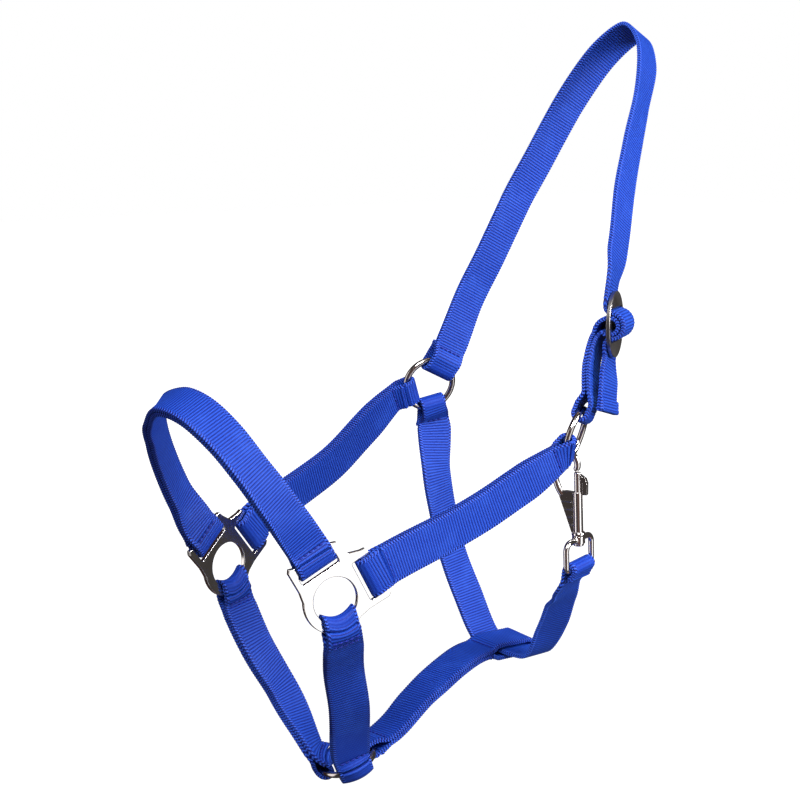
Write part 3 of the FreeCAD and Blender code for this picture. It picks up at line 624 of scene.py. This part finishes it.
def thread_mesh(name, stitches):
    """Stitches as short bowed lengths of thread; each is (ply, face, at, a, at2, a2)."""
    rings, around = 7, 6
    t = np.linspace(0, 1, rings)
    points, quads, fans = [], [], []
    for ply, face, at, a, at2, a2 in stitches:
        p, side, normal = ply.surface(at + (at2 - at) * t, a + (a2 - a) * t, face)
        lift = np.sin(np.pi * t) ** 0.6 * (STITCH_RISE + STITCH_DIP) - STITCH_DIP - STITCH_BEDDING
        centre = p + normal * (face * lift)[:, None]
        travel = rows_unit(np.gradient(centre, axis=0))
        beside = rows_unit(np.cross(travel, normal))
        above = np.cross(beside, travel)
        r = THREAD_RADIUS * (0.55 + 0.45 * np.sin(np.pi * t))[:, None, None]
        start = len(points) * rings * around
        points.append((centre[:, None] + circles(beside, above, around) * r).reshape(-1, 3))
        quads.append(tube_quads(rings, around, start))
        fans += end_faces(rings, around, start)
    piece = new_mesh(name, np.concatenate(points), np.concatenate(quads), fans)
    piece.data.materials.append(THREAD)
    return piece


def cross_row(ply, face, at, reach=STITCH_REACH):
    """A row of stitches across the webbing."""
    count = int(2 * reach / STITCH_PITCH)
    start = -count * STITCH_PITCH / 2 + (STITCH_PITCH - STITCH_LENGTH) / 2
    places = [start + i * STITCH_PITCH for i in range(count)]
    return [(ply, face, at, a, at, a + STITCH_LENGTH) for a in places]


def through_row(ply, at, reach=STITCH_REACH):
    """The same row of stitches on both faces."""
    return cross_row(ply, 1, at, reach) + cross_row(ply, -1, at, reach)


# ---- the straps

def slot_bar(side, rear):
    way = plate_direction(side, PLATE_LEAN[side] + SLOT_SPREAD * (1 if rear else -1))
    return plate_frame(side)[0] + way * (SLOT_OUTER + SLOT_TURN), way


def slot_end(back=RETURN_END):
    return End(SLOT_FOLD, SLOT_BAR - SLOT_OUTER, back=back)


def ring_end(sag, width, back=RETURN_END, gather=GATHER_LENGTH):
    return End(RING_FOLD, sag + WIRE_RADIUS, width, back=back, gather=gather)


def backward(v):
    """v or its opposite, whichever points to the back of the head."""
    return v if v[0] > 0 else -v


def ring_seat(ring, degrees, width):
    """A fold's bar and sag on a ring, the way the strap leaves and the side direction."""
    bar, sag = ring.straight_bar(degrees, width)
    return bar, sag, ring.out(degrees), backward(ring.out(degrees - 90))


def noseband():
    near, near_way = slot_bar(NEAR, False)
    far, far_way = slot_bar(FAR, False)
    near_side = backward(np.cross(near_way, plate_frame(NEAR)[2]))
    far_side = backward(np.cross(far_way, plate_frame(FAR)[2]))
    near_leaning = (0.8, 0.25, 0.54)
    far_leaning = (0.66, 0.5, 0.56)
    return Strap([
        (near, near_side),
        (near + near_way * 12, near_side),
        ((-38, -52, 62), (0.84, 0.1, 0.54)),
        ((-51, -46, 82), near_leaning),
        ((-61, -35, 100), near_leaning),
        ((-69, -18, 113.5), (0.9, 0.1, 0.42)),
        ((-73, 2, 117), (0.9, 0.1, 0.42)),
        ((-71, 21, 108), (0.75, 0.35, 0.56)),
        ((-63, 35, 93), far_leaning),
        ((-52, 45, 74), far_leaning),
        ((-38, 51, 50), far_leaning),
        (far + far_way * 12, far_side),
        (far, far_side),
    ], slot_end(), slot_end())


def cheek_strap(side, ring):
    start, way = slot_bar(side, True)
    bar, sag = ring.straight_bar(CHEEK_RING_ANGLE[side], CHEEK_FOLD_WIDTH)
    leave = ring.out(CHEEK_RING_ANGLE[side])
    straight = unit(bar - start)
    tilted = (-0.5, CHEEK_TILT[side], 0.85)
    return Strap([
        (start, across(UP, way)),
        (start + way * 12, across(UP, way)),
        ((start + bar) * 0.5 + vec(0, side * 2, -4), tilted),
        (bar + leave * 9 + straight * -5, tilted),
        (bar, ring.out(CHEEK_RING_ANGLE[side] - 90)),
    ], slot_end(CHEEK_RETURN), ring_end(sag, CHEEK_FOLD_WIDTH, gather=CHEEK_GATHER))


def chin_strap(side):
    hole, back, out = plate_frame(side)
    way = plate_direction(side, 180 - CHIN_PULL[side])
    radius = HOLE_RADIUS + SLOT_TURN
    start = hole + way * radius
    start_side = backward(np.cross(out, way))
    leave = CHIN_RING.out(CHIN_RING_ANGLE[side])
    bar = CHIN_RING.centre + leave * RING_RADIUS
    rim = backward(np.cross(CHIN_RING.axis, leave))
    return Strap([
        (start, start_side),
        (start + way * 11, start_side),
        (CHIN_RUN[side][0], (0.9, side * 0.3, 0.3)),
        (CHIN_RUN[side][1], (0.85, side * 0.4, 0.3)),
        (bar + CHIN_RING.axis * 13 + vec(-1, side * 2, 0), rim),
        (bar, rim),
    ], End(HOLE_FOLD, EYE_RADIUS - HOLE_RADIUS, HOLE_FOLD_WIDTH, radius, way),
       End(CHIN_FOLD, WIRE_RADIUS, CHIN_FOLD_WIDTH, RING_RADIUS, leave))


def throat_strap():
    bar, sag, leave, side = ring_seat(FAR_RING, THROAT_RING_ANGLE, THROAT_FOLD_WIDTH)
    eye_bar = SNAP_FOOT + SNAP_UP * EYE_FOOT
    return Strap([
        (bar, side),
        (bar + leave * 14, (0.95, -0.2, 0.1)),
        ((176, 66, 36), (0.99, 0.1, 0)),
        ((180, 63.5, 8), (0.98, 0.15, 0.1)),
        ((184, 58, -20), (0.98, 0.15, 0.1)),
        ((188, 48, -45), (0.98, 0.1, 0.1)),
        KEEPER_IN,
        KEEPER_MIDDLE,
        KEEPER_OUT,
        ((197, -15, -75.5), (1, 0.1, 0)),
        ((197, -29, -55), (1, -0.1, 0.05)),
        ((194, -40, -36), (1, -0.05, 0.1)),
        ((189, -51, -24), EYE_ACROSS),
        (eye_bar + across(EYE_LEAVE, EYE_ACROSS) * 12, EYE_ACROSS),
        (eye_bar, EYE_ACROSS),
    ], ring_end(sag, THROAT_FOLD_WIDTH, RING_RETURN),
       End(EYE_WIRE + FIT + PLY / 2, EYE_WIRE, back=EYE_RETURN))


def jaw_strap():
    bar, sag = CHIN_RING.straight_bar(0, JAW_FOLD_WIDTH)
    across_keeper = unit(KEEPER_IN[0] - KEEPER_OUT[0])
    return Strap([
        (bar, (0, 1, 0)),
        (bar + vec(12, 0, 3.4), (0, 1, 0)),
        ((90.5, 1, -107), (0, 1, 0)),
        ((108, 3, -95.5), (-0.1, 1, 0)),
        ((125, 5, -87), (-0.1, 1, 0.1)),
        ((143, 8, -80), across_keeper),
        ((160, 12, -76.4), across_keeper),
        (KEEPER_MIDDLE[0] - vec(16, 0, 0), across_keeper),
        (KEEPER_MIDDLE[0] + vec(KEEPER_REACH, 0, 0), across_keeper),
    ], ring_end(sag, JAW_FOLD_WIDTH),
       End(PLY + FIT + KEEPER_SLACK, 2 * KEEPER_REACH + 2, back=KEEPER_RETURN))


def beside_slide(outward, up):
    """A point in the slide's middle plane, this far outward and up from its centre."""
    return SLIDE_CENTRE + SLIDE_OUT * outward + UP * up


def chape():
    bar, sag, leave, side = ring_seat(NEAR_RING, CHAPE_RING_ANGLE, CHAPE_FOLD_WIDTH)
    strap = Strap([
        (bar, side),
        (bar + leave * 13, SLIDE_ACROSS),
        ((195, -65.5, 124), SLIDE_ACROSS),
        (beside_slide(-10.5, -9), SLIDE_ACROSS),
        (beside_slide(-6.5, -1.5), SLIDE_ACROSS),
        (beside_slide(0, 0), SLIDE_ACROSS),
    ], ring_end(sag, CHAPE_FOLD_WIDTH), End(CHAPE_FOLD, SLIDE_THICKNESS / 2 + FIT))
    strap.ends[0].back = CHAPE_SEAM - PLY_END_GAP / 2
    strap.ends[1].back = strap.length - CHAPE_SEAM - PLY_END_GAP / 2
    return strap


def crown_strap():
    bar, sag, leave, side = ring_seat(FAR_RING, CROWN_RING_ANGLE, CROWN_FOLD_WIDTH)
    level = (0.89, 0, -0.45)
    stations = [
        (bar, side),
        (bar + leave * 14, (0.89, -0.1, -0.44)),
        ((197, 58, 153), level),
        ((213, 52, 186), level),
        ((229, 47, 219), level),
        ((246, 40, 251), level),
        ((262, 31, 284), level),
        ((280, 19, 315), level),
        ((290, 0, 331), (0.88, 0.08, -0.45)),
        ((283, -20, 315), (0.82, 0.2, -0.5)),
        ((267, -32, 285), (0.76, 0.34, -0.54)),
        ((249, -42, 254), (0.8, 0.28, -0.54)),
        ((232, -53, 223), (0.84, 0.24, -0.48)),
        ((218, -63, 193), (0.86, 0.3, -0.35)),
        ((210, -68, 177), SLIDE_ACROSS),
    ]
    turns = [math.radians(degrees) for degrees in ROLL_ANGLES]
    entry = [(BEHIND_SLIDE, SLIDE_REACH), *SLIDE_PASS]
    roll = [(CROWN_FOLD * math.sin(a), CROWN_FOLD * math.cos(a)) for a in turns]
    leaving = [(outward, -up) for outward, up in entry[::-1]]
    laced = entry + roll + leaving + [(BEHIND_SLIDE, -TAIL_START)]
    stations += [(beside_slide(outward, up), SLIDE_ACROSS) for outward, up in laced]
    stations += [
        ((202, -73, 111), (0.92, 0.4, 0)),
        ((198, -76, 93), (0.93, 0.36, 0)),
    ]
    return Strap(stations, ring_end(sag, CROWN_FOLD_WIDTH, RING_RETURN), None)


# ---- materials

# linear colours of the webbing, its thread and worn metal. The darker blues are painted shade in the
# webbing's and thread's hollows, the lighter ones painted highlight on their crests
VALLEY_SHADE_BLUE, FLANK_BLUE, CREST_HIGHLIGHT_BLUE = (0.001, 0.006, 0.09), (0.004, 0.028, 0.32), (0.018, 0.088, 0.57)
PLAIT_SHADE_AND_HIGHLIGHT_BLUES = (0.001, 0.005, 0.12), (0.035, 0.11, 0.68)
WORN_BLUE, SHEEN_BLUE = (0.04, 0.13, 0.70), (0.15, 0.55, 1.0)
THREAD_TWIST_SHADE_BLUES = (0.004, 0.008, 0.16), (0.03, 0.05, 0.46)
RUBBED_EDGE = (0.95, 0.93, 0.9)
EDGE_ROUNDING, WIRE_ROUNDING = 0.0004, 0.0001  # metres
CREASE_ANGLE = math.radians(32)  # metal edges sharper than this stay sharp


class Graph:
    """Short forms for building a material's or the world's nodes."""

    def __init__(self, tree):
        self.tree = tree
        tree.nodes.clear()

    def node(self, kind, **settings):
        made = self.tree.nodes.new(kind)
        for key, value in settings.items():
            setattr(made, key, value)
        return made

    def link(self, source, target):
        """Join a socket to an input, or set the input to a value."""
        if isinstance(source, bpy.types.NodeSocket):
            self.tree.links.new(source, target)
        else:
            target.default_value = source

    def result(self, kind, inputs, output=0, **settings):
        """One output of a new node with the given inputs."""
        made = self.node(kind, **settings)
        for key, value in inputs.items():
            self.link(value, made.inputs[key])
        return made.outputs[output]

    def math(self, operation, *values):
        return self.result("ShaderNodeMath", dict(enumerate(values)), operation=operation)

    def times(self, a, b, plus=0.0):
        """a * b + plus."""
        return self.math("MULTIPLY_ADD", a, b, plus)

    def wave(self, phase):
        """1 at every whole phase, 0 half way between."""
        return self.times(self.math("COSINE", self.times(phase, 2 * math.pi)), 0.5, 0.5)

    def step(self, value, low, high):
        """0 below low, 1 above high, smooth between."""
        inputs = dict(enumerate((value, low, high, 0.0, 1.0)))
        return self.result("ShaderNodeMapRange", inputs, interpolation_type="SMOOTHSTEP")

    def mix(self, share, *pair):
        """From the first to the second by share; each is a socket or a colour."""
        a, b = [value + (1.0,) if isinstance(value, tuple) else value for value in pair]
        return self.result("ShaderNodeMix", {0: share, 6: a, 7: b}, 2, data_type="RGBA")

    def noise(self, vector, scale, detail=3.0, roughness=0.5):
        inputs = {"Vector": vector, "Scale": scale, "Detail": detail, "Roughness": roughness}
        return self.result("ShaderNodeTexNoise", inputs, "Fac")

    def bump(self, height, distance, strength, **normal):
        inputs = {"Strength": strength, "Distance": distance, "Height": height, **normal}
        return self.result("ShaderNodeBump", inputs)


def new_material(name, inputs):
    """A material, its graph and its shader, with the given shader inputs set."""
    material = bpy.data.materials.new(name)
    material.use_nodes = True
    graph = Graph(material.node_tree)
    shader = graph.node("ShaderNodeBsdfPrincipled")
    for key, value in inputs.items():
        shader.inputs[key].default_value = value
    graph.output = graph.node("ShaderNodeOutputMaterial")
    graph.link(shader.outputs[0], graph.output.inputs["Surface"])
    return material, graph, shader


def webbing_material():
    """Ribbed royal blue nylon: yarns over each rib, plaited edges, a soft sheen."""
    material, g, shader = new_material("webbing_royal_blue", {
        "Specular IOR Level": 0.2, "Sheen Weight": 0.05, "Sheen Roughness": 0.4,
        "Sheen Tint": SHEEN_BLUE + (1.0,),
    })
    weave = g.node("ShaderNodeSeparateXYZ")
    g.link(g.result("ShaderNodeAttribute", {}, "Vector", attribute_name="weave"), weave.inputs[0])
    a, v, w = weave.outputs
    place = g.result("ShaderNodeTexCoord", {}, "Object")
    rib_phase = g.times(v, 1 / RIB)
    wave = g.math("ABSOLUTE", g.math("COSINE", g.times(rib_phase, math.pi)))
    crest = g.math("POWER", wave, RIB_ROUNDING)
    # yarns lie side by side along the webbing and change places at each rib
    row = g.times(g.math("FLOOR", g.math("ADD", rib_phase, 0.5)), 0.5)
    yarn = g.wave(g.math("ADD", g.times(a, 1 / YARN_PITCH), row))
    ribs = g.result("ShaderNodeAttribute", {}, "Fac", attribute_name="ribs")
    crest = g.math("ADD", g.times(crest, ribs), g.times(ribs, -0.75, 0.75))
    face_height = g.times(crest, g.times(yarn, 0.35, 0.65))
    # plaited edge: slanted strands that meet in the middle of the thickness
    depth, lateral = g.math("ABSOLUTE", w), g.math("ABSOLUTE", a)
    plait = g.wave(g.math("SUBTRACT", rib_phase, g.times(depth, 0.5)))
    face_plait = g.wave(g.math("ADD", rib_phase, g.times(lateral, 0.5 / SELVEDGE)))
    on_edge = g.math("LESS_THAN", depth, 0.97)
    edge_height = g.mix(on_edge, face_plait, plait)
    selvedge = g.step(lateral, WEB_WIDTH / 2 - SELVEDGE * 1.05, WEB_WIDTH / 2 - SELVEDGE * 0.8)
    height = g.result("ShaderNodeRGBToBW", {0: g.mix(selvedge, face_height, edge_height)})
    fibre = g.noise(place, 2600.0, 2.0)
    worn = g.noise(place, 60.0, 3.0)
    blotch = g.noise(place, 14.0, 2.0)
    # painted shade in the valleys between ribs and yarns, painted highlight on the rib crests
    low = g.mix(g.step(height, 0.0, 0.6), VALLEY_SHADE_BLUE, FLANK_BLUE)
    colour = g.mix(g.step(height, 0.5, 1.0), low, CREST_HIGHLIGHT_BLUE)
    # plaited edges: painted shade on the low strands, painted highlight on the high ones
    braid = g.mix(g.step(height, 0.3, 0.85), *PLAIT_SHADE_AND_HIGHLIGHT_BLUES)
    colour = g.mix(selvedge, colour, braid)
    fuzz = g.math("ADD", worn, g.times(fibre, 0.25))
    lighter = g.times(g.step(fuzz, 0.6, 0.95), 0.2)
    colour = g.mix(lighter, colour, WORN_BLUE)
    tone = {"Color": colour, "Value": g.times(blotch, 0.3, 0.85)}
    g.link(g.result("ShaderNodeHueSaturation", tone), shader.inputs["Base Color"])
    g.link(g.times(fibre, 0.25, 0.42), shader.inputs["Roughness"])
    fine = g.math("ADD", height, g.times(fibre, 0.25))
    g.link(g.bump(fine, 0.00018, 0.8), shader.inputs["Normal"])
    return material


def thread_material():
    """Twisted blue sewing thread."""
    material, g, shader = new_material("thread_blue", {"Specular IOR Level": 0.15, "Sheen Weight": 0.05})
    place = g.result("ShaderNodeTexCoord", {}, "Object")
    strands = {"Vector": place, "Scale": 700.0, "Distortion": 1.5}
    twist = g.result("ShaderNodeTexWave", strands, "Fac", bands_direction="DIAGONAL")
    # painted shade in the grooves of the twist, following the same pattern as its bumps
    g.link(g.mix(twist, *THREAD_TWIST_SHADE_BLUES), shader.inputs["Base Color"])
    g.link(g.times(g.noise(place, 900.0), 0.3, 0.45), shader.inputs["Roughness"])
    g.link(g.bump(twist, 0.0001, 0.7), shader.inputs["Normal"])
    return material


def metal_material(name, colour, dark, roughness, mottle, bevel=EDGE_ROUNDING):
    """Plated metal: polished faces, tiny pits, darker patches, edges rubbed brighter."""
    material, g, shader = new_material(name, {"Metallic": 1.0})
    place = g.result("ShaderNodeTexCoord", {}, "Object")
    cloud = g.noise(place, 120.0, 4.0, 0.6)
    pits = g.noise(place, 900.0, 2.0)
    soft = g.noise(place, 35.0, 3.0)
    edge = g.step(g.result("ShaderNodeNewGeometry", {}, "Pointiness"), 0.5, 0.62)
    body = g.mix(g.times(g.step(cloud, 0.35, 0.75), mottle), colour, dark)
    g.link(g.mix(g.times(edge, 0.5), body, RUBBED_EDGE), shader.inputs["Base Color"])
    rough = g.times(soft, roughness, roughness * 0.5)
    pitted = g.times(g.step(pits, 0.6, 0.8), 0.12)
    g.link(g.math("ADD", rough, pitted), shader.inputs["Roughness"])
    rounded = g.result("ShaderNodeBevel", {"Radius": bevel}, samples=4)
    waves = g.math("ADD", soft, g.times(pits, 0.02))
    g.link(g.bump(waves, 0.0003, 0.3, Normal=rounded), shader.inputs["Normal"])
    return material


WEBBING = webbing_material()
THREAD = thread_material()
BRIGHT = metal_material("bright_nickel", (0.82, 0.79, 0.78), (0.62, 0.57, 0.55), 0.08, 0.3)
RING = metal_material("ring_nickel", (0.56, 0.52, 0.51), (0.38, 0.34, 0.33), 0.10, 0.3)
CAST = metal_material("cast_nickel", (0.74, 0.72, 0.70), (0.58, 0.55, 0.54), 0.14, 0.3)
DARK = metal_material("dark_nickel", (0.36, 0.34, 0.33), (0.22, 0.20, 0.20), 0.30, 0.5)
STEEL = metal_material("spring_steel", (0.42, 0.42, 0.44), (0.25, 0.24, 0.24), 0.25, 0.4, WIRE_ROUNDING)

METAL = {
    "near_cheek_plate": CAST, "far_cheek_plate": CAST, "slide": DARK,
    "near_ring": RING, "far_ring": RING, "chin_ring": RING,
    "snap_body": BRIGHT, "snap_bolt": BRIGHT, "swivel_post": BRIGHT, "swivel_eye": BRIGHT,
}


def finish_metal():
    for node, material in METAL.items():
        piece = frame["nodes"][node]
        piece.data.materials.clear()
        piece.data.materials.append(material)
        piece.data.polygons.foreach_set("use_smooth", np.ones(len(piece.data.polygons), bool))
        piece.data.set_sharp_from_angle(angle=CREASE_ANGLE)


# ---- the halter

def dress(name, strap, face, rows, pressed=0.0):
    """Both plies of a doubled strap and its stitching.

    rows are distances from the first end, or from the last where negative; pressed is a length
    before the last end worn smooth."""
    loop, cover = strap.looped(face), strap.covering(face)
    start = strap.ends[0].back + PLY_END_GAP
    main = loop.joins[1]
    from_start = [s if s >= 0 else strap.length + s for s in rows]
    for part, ply, shift in (("looped_ply", loop, main), ("covering_ply", cover, -start)):
        smoothed = (strap.length - pressed + shift, ply.length) if pressed else None
        piece = web_mesh(f"{name}_{part}_webbing", ply, [s + shift for s in from_start], smoothed)
        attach(piece, "halter")
        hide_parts(f"{name}_{part}")
    stitches = []
    for s in from_start:
        stitches += cross_row(cover, face, s - start)
        stitches += cross_row(loop, -face, s + main)
    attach(thread_mesh(f"{name}_stitching", stitches), "halter")


def sewn_straps():
    dress("noseband", noseband(), 1, (9, -9))
    dress("near_cheek", cheek_strap(NEAR, NEAR_RING), -1, (12.8, -13))
    dress("far_cheek", cheek_strap(FAR, FAR_RING), -1, (12.8, -13))
    dress("near_chin", chin_strap(NEAR), -1, (10, 12.8, -9), pressed=38.0)
    dress("far_chin", chin_strap(FAR), -1, (10, 12.8, -9))
    dress("jaw", jaw_strap(), 1, (13, -30))


def buckle_chape():
    ply = chape().looped(1)
    piece = web_mesh("buckle_chape_webbing", ply, sealed=False)
    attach(piece, "halter")
    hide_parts("buckle_chape")


def throat():
    """One length of webbing that bends where it leaves the keeper."""
    strap = throat_strap()
    ply = strap.single_ply(1)
    rows = [ply.joins[1] + RING_SEAM, ply.joins[2] - EYE_SEAM]
    piece = web_mesh("throat_strap_webbing", ply, rows)
    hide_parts("throat_strap", "throat_strap_near_end")
    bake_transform(piece)
    at_ring = thread_mesh("throat_strap_stitching", through_row(ply, rows[0], RING_SEAM_REACH))
    at_snap = thread_mesh("throat_strap_end_stitching", through_row(ply, rows[1]))
    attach(at_ring, "halter")
    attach(at_snap, "throat_end")


def crown():
    """One length of webbing over the poll, through the slide, ending in a free tail."""
    strap = crown_strap()
    ply = strap.single_ply(-1)
    rows = [ply.joins[1] + RING_SEAM, ply.length - HEM_SEAM]
    piece = web_mesh("crown_strap_webbing", ply, rows, turned_under=TAIL_HEM)
    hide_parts("crown_strap", "crown_strap_tail")
    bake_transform(piece)
    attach(thread_mesh("crown_strap_stitching", through_row(ply, rows[0])), "halter")
    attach(thread_mesh("crown_tail_stitching", through_row(ply, rows[1])), "crown_tail")


def bolt_spring():
    """The coil inside the barrel; it stays on its seat."""
    per_turn, around = 24, 8
    t = np.linspace(0, 1, SPRING_TURNS * per_turn + 1)
    angle = (2 * np.pi * SPRING_TURNS * t)[:, None]
    radial = SNAP_ACROSS * np.cos(angle) + np.cross(SNAP_UP, SNAP_ACROSS) * np.sin(angle)
    height = SPRING_FOOT + (SPRING_TOP - SPRING_FOOT) * t
    centre = SNAP_FOOT + radial * SPRING_RADIUS + SNAP_UP * height[:, None]
    wire = circles(radial, np.broadcast_to(SNAP_UP, radial.shape), around) * SPRING_WIRE
    quads = tube_quads(len(t), around)[:, ::-1]
    ends = [face[::-1] for face in end_faces(len(t), around)]
    piece = new_mesh("snap_spring_coil", (centre[:, None] + wire).reshape(-1, 3), quads, ends)
    piece.data.materials.append(STEEL)
    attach(piece, "snap")
    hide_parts("snap_spring")
    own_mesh(piece)


# ---- the studio

CAMERA_AZIMUTH, CAMERA_ELEVATION, CAMERA_DISTANCE = -38.0, 9.0, 1300.0
CAMERA_TARGET = vec(93, 0, 102)
CAMERA_LENS, CAMERA_SENSOR = 93.6, 36.0
FLOOR_DROP = 120.0  # below the halter, clear of the snap when it hangs down
FLOOR_HALF_SIZE = 6000.0
FLOOR_GLOW, FLOOR_GLOW_FAR = 0.84, 0.3  # light the floor gives off, and what distance adds
WHITE = (1.0, 1.0, 1.0)
# name, direction from the halter, distance and size in metres, watts
LIGHTS = (
    ("key", (-0.45, -0.58, 0.76), 1.8, 0.8, 42.0),
    ("fill", (0.6, -0.75, 0.25), 0.9, 0.35, 8.5),
)
SKY = (-0.2, -0.3, 1)  # where the soft light on cloth is strongest
AMBIENT = (0.05, 0.05, 0.06), (0.30, 0.30, 0.31)  # away from the sky and toward it

# what polished metal sees round it: direction, where its edge starts and ends (cosines), colour
SOFT_BOXES = (
    ((0.235, -0.96, -0.06), 0.935, 0.982, (1.6, 1.6, 1.6)),
    ((-0.93, 0.36, 0.0), 0.945, 0.985, (1.5, 1.42, 1.4)),
    ((-0.35, -0.45, 0.75), 0.86, 0.94, (1.1, 1.08, 1.06)),
    ((0.45, 0.1, 0.78), 0.90, 0.96, (0.75, 0.52, 0.46)),
)
FLAGS = (
    ((0.93, -0.15, -0.06), 0.80, 0.9, (0.06, 0.054, 0.05)),
    ((-0.96, -0.18, -0.06), 0.955, 0.98, (0.05, 0.042, 0.04)),
    ((-0.6, -0.78, 0.0), 0.94, 0.985, (0.16, 0.085, 0.07)),
    ((-0.2, 0.95, -0.04), 0.76, 0.88, (0.04, 0.022, 0.02)),
    ((0.45, -0.35, -0.7), 0.88, 0.95, (0.42, 0.25, 0.21)),
)
BOX_STRETCH = 0.4  # boxes and flags are taller than wide
ROOM_GLOSS = (0.075, 0.07, 0.072)


def place_object(name, data, place, aim):
    """Put a camera or light at a place, looking along aim; both in metres."""
    holder = new_object(name, data)
    holder.location = place
    holder.rotation_mode = "QUATERNION"
    holder.rotation_quaternion = Vector(aim).to_track_quat("-Z", "Y")
    return holder


def camera():
    a, e = math.radians(CAMERA_AZIMUTH), math.radians(CAMERA_ELEVATION)
    back = vec(math.sin(a) * math.cos(e), -math.cos(a) * math.cos(e), math.sin(e))
    data = bpy.data.cameras.new("camera")
    data.lens, data.sensor_width = CAMERA_LENS, CAMERA_SENSOR
    data.clip_start, data.clip_end = 0.01, 100.0
    place = (CAMERA_TARGET + back * CAMERA_DISTANCE) * MM
    bpy.context.scene.camera = place_object("camera", data, place, -back)


def area_light(name, direction, distance, size, power):
    """A soft square light at a distance (m) from the halter's middle, aimed at it."""
    data = bpy.data.lights.new(name, "AREA")
    data.size, data.energy = size, power
    way = unit(vec(*direction))
    place_object(name, data, CAMERA_TARGET * MM + way * distance, -way)


def world():
    """White to the camera, soft light from above for cloth, boxes and flags for metal."""
    made = bpy.data.worlds.new("studio")
    bpy.context.scene.world = made
    made.use_nodes = True
    g = Graph(made.node_tree)
    way = g.result("ShaderNodeTexCoord", {}, "Generated")
    flat = g.result("ShaderNodeVectorMath", {0: way, 1: (1.0, 1.0, BOX_STRETCH)}, operation="MULTIPLY")
    tall = g.result("ShaderNodeVectorMath", {0: flat}, operation="NORMALIZE")

    def toward(source, direction, low, high):
        pair = {0: source, 1: unit(vec(*direction))}
        return g.step(g.result("ShaderNodeVectorMath", pair, "Value", operation="DOT_PRODUCT"), low, high)

    ambient = g.mix(toward(way, SKY, -0.7, 0.8), *AMBIENT)
    gloss = ROOM_GLOSS
    for direction, low, high, colour in SOFT_BOXES + FLAGS:
        gloss = g.mix(toward(tall, direction, low, high), gloss, colour)
    path = g.node("ShaderNodeLightPath")
    colour = g.mix(path.outputs["Is Glossy Ray"], ambient, gloss)
    colour = g.mix(path.outputs["Is Camera Ray"], colour, WHITE)
    light = g.result("ShaderNodeBackground", {"Color": colour})
    g.link(light, g.node("ShaderNodeOutputWorld").inputs["Surface"])


def floor_material():
    """White card that keeps a faint shadow; polished metal doesn't mirror it."""
    material, g, shader = new_material("pale_floor", {
        "Roughness": 0.9, "Specular IOR Level": 0.0, "Emission Color": WHITE + (1.0,),
    })
    place = g.result("ShaderNodeTexCoord", {}, "Object")
    path = g.node("ShaderNodeLightPath")
    grain = g.mix(g.noise(place, 3.0), (0.22, 0.22, 0.22), (0.26, 0.26, 0.26))
    g.link(grain, shader.inputs["Base Color"])
    far = g.result("ShaderNodeVectorMath", {0: place}, "Value", operation="LENGTH")
    glow = g.times(g.step(far, 0.5, 1.6), FLOOR_GLOW_FAR, FLOOR_GLOW)
    g.link(g.times(glow, path.outputs["Is Camera Ray"]), shader.inputs["Emission Strength"])
    clear = g.result("ShaderNodeBsdfTransparent", {})
    choice = {0: path.outputs["Is Glossy Ray"], 1: shader.outputs[0], 2: clear}
    g.link(g.result("ShaderNodeMixShader", choice), g.output.inputs["Surface"])
    return material


def floor():
    """A pale floor below the halter."""
    lowest = CAD_BOX[0].z / MM - FLOOR_DROP
    steps = 24
    grid = np.linspace(-FLOOR_HALF_SIZE, FLOOR_HALF_SIZE, steps)
    x, y = np.meshgrid(grid, grid, indexing="ij")
    points = np.stack([x, y, np.full_like(x, lowest)], axis=-1).reshape(-1, 3)
    i, j = np.meshgrid(np.arange(steps - 1), np.arange(steps - 1), indexing="ij")
    first = i * steps + j
    quads = np.stack([first, first + steps, first + steps + 1, first + 1], axis=-1).reshape(-1, 4)
    piece = new_mesh("floor", points, quads)
    piece.data.materials.append(floor_material())


sewn_straps()
buckle_chape()
throat()
crown()
bolt_spring()
finish_metal()
floor()
camera()
world()
for light in LIGHTS:
    area_light(*light)
bpy.context.scene.view_settings.view_transform = "Standard"
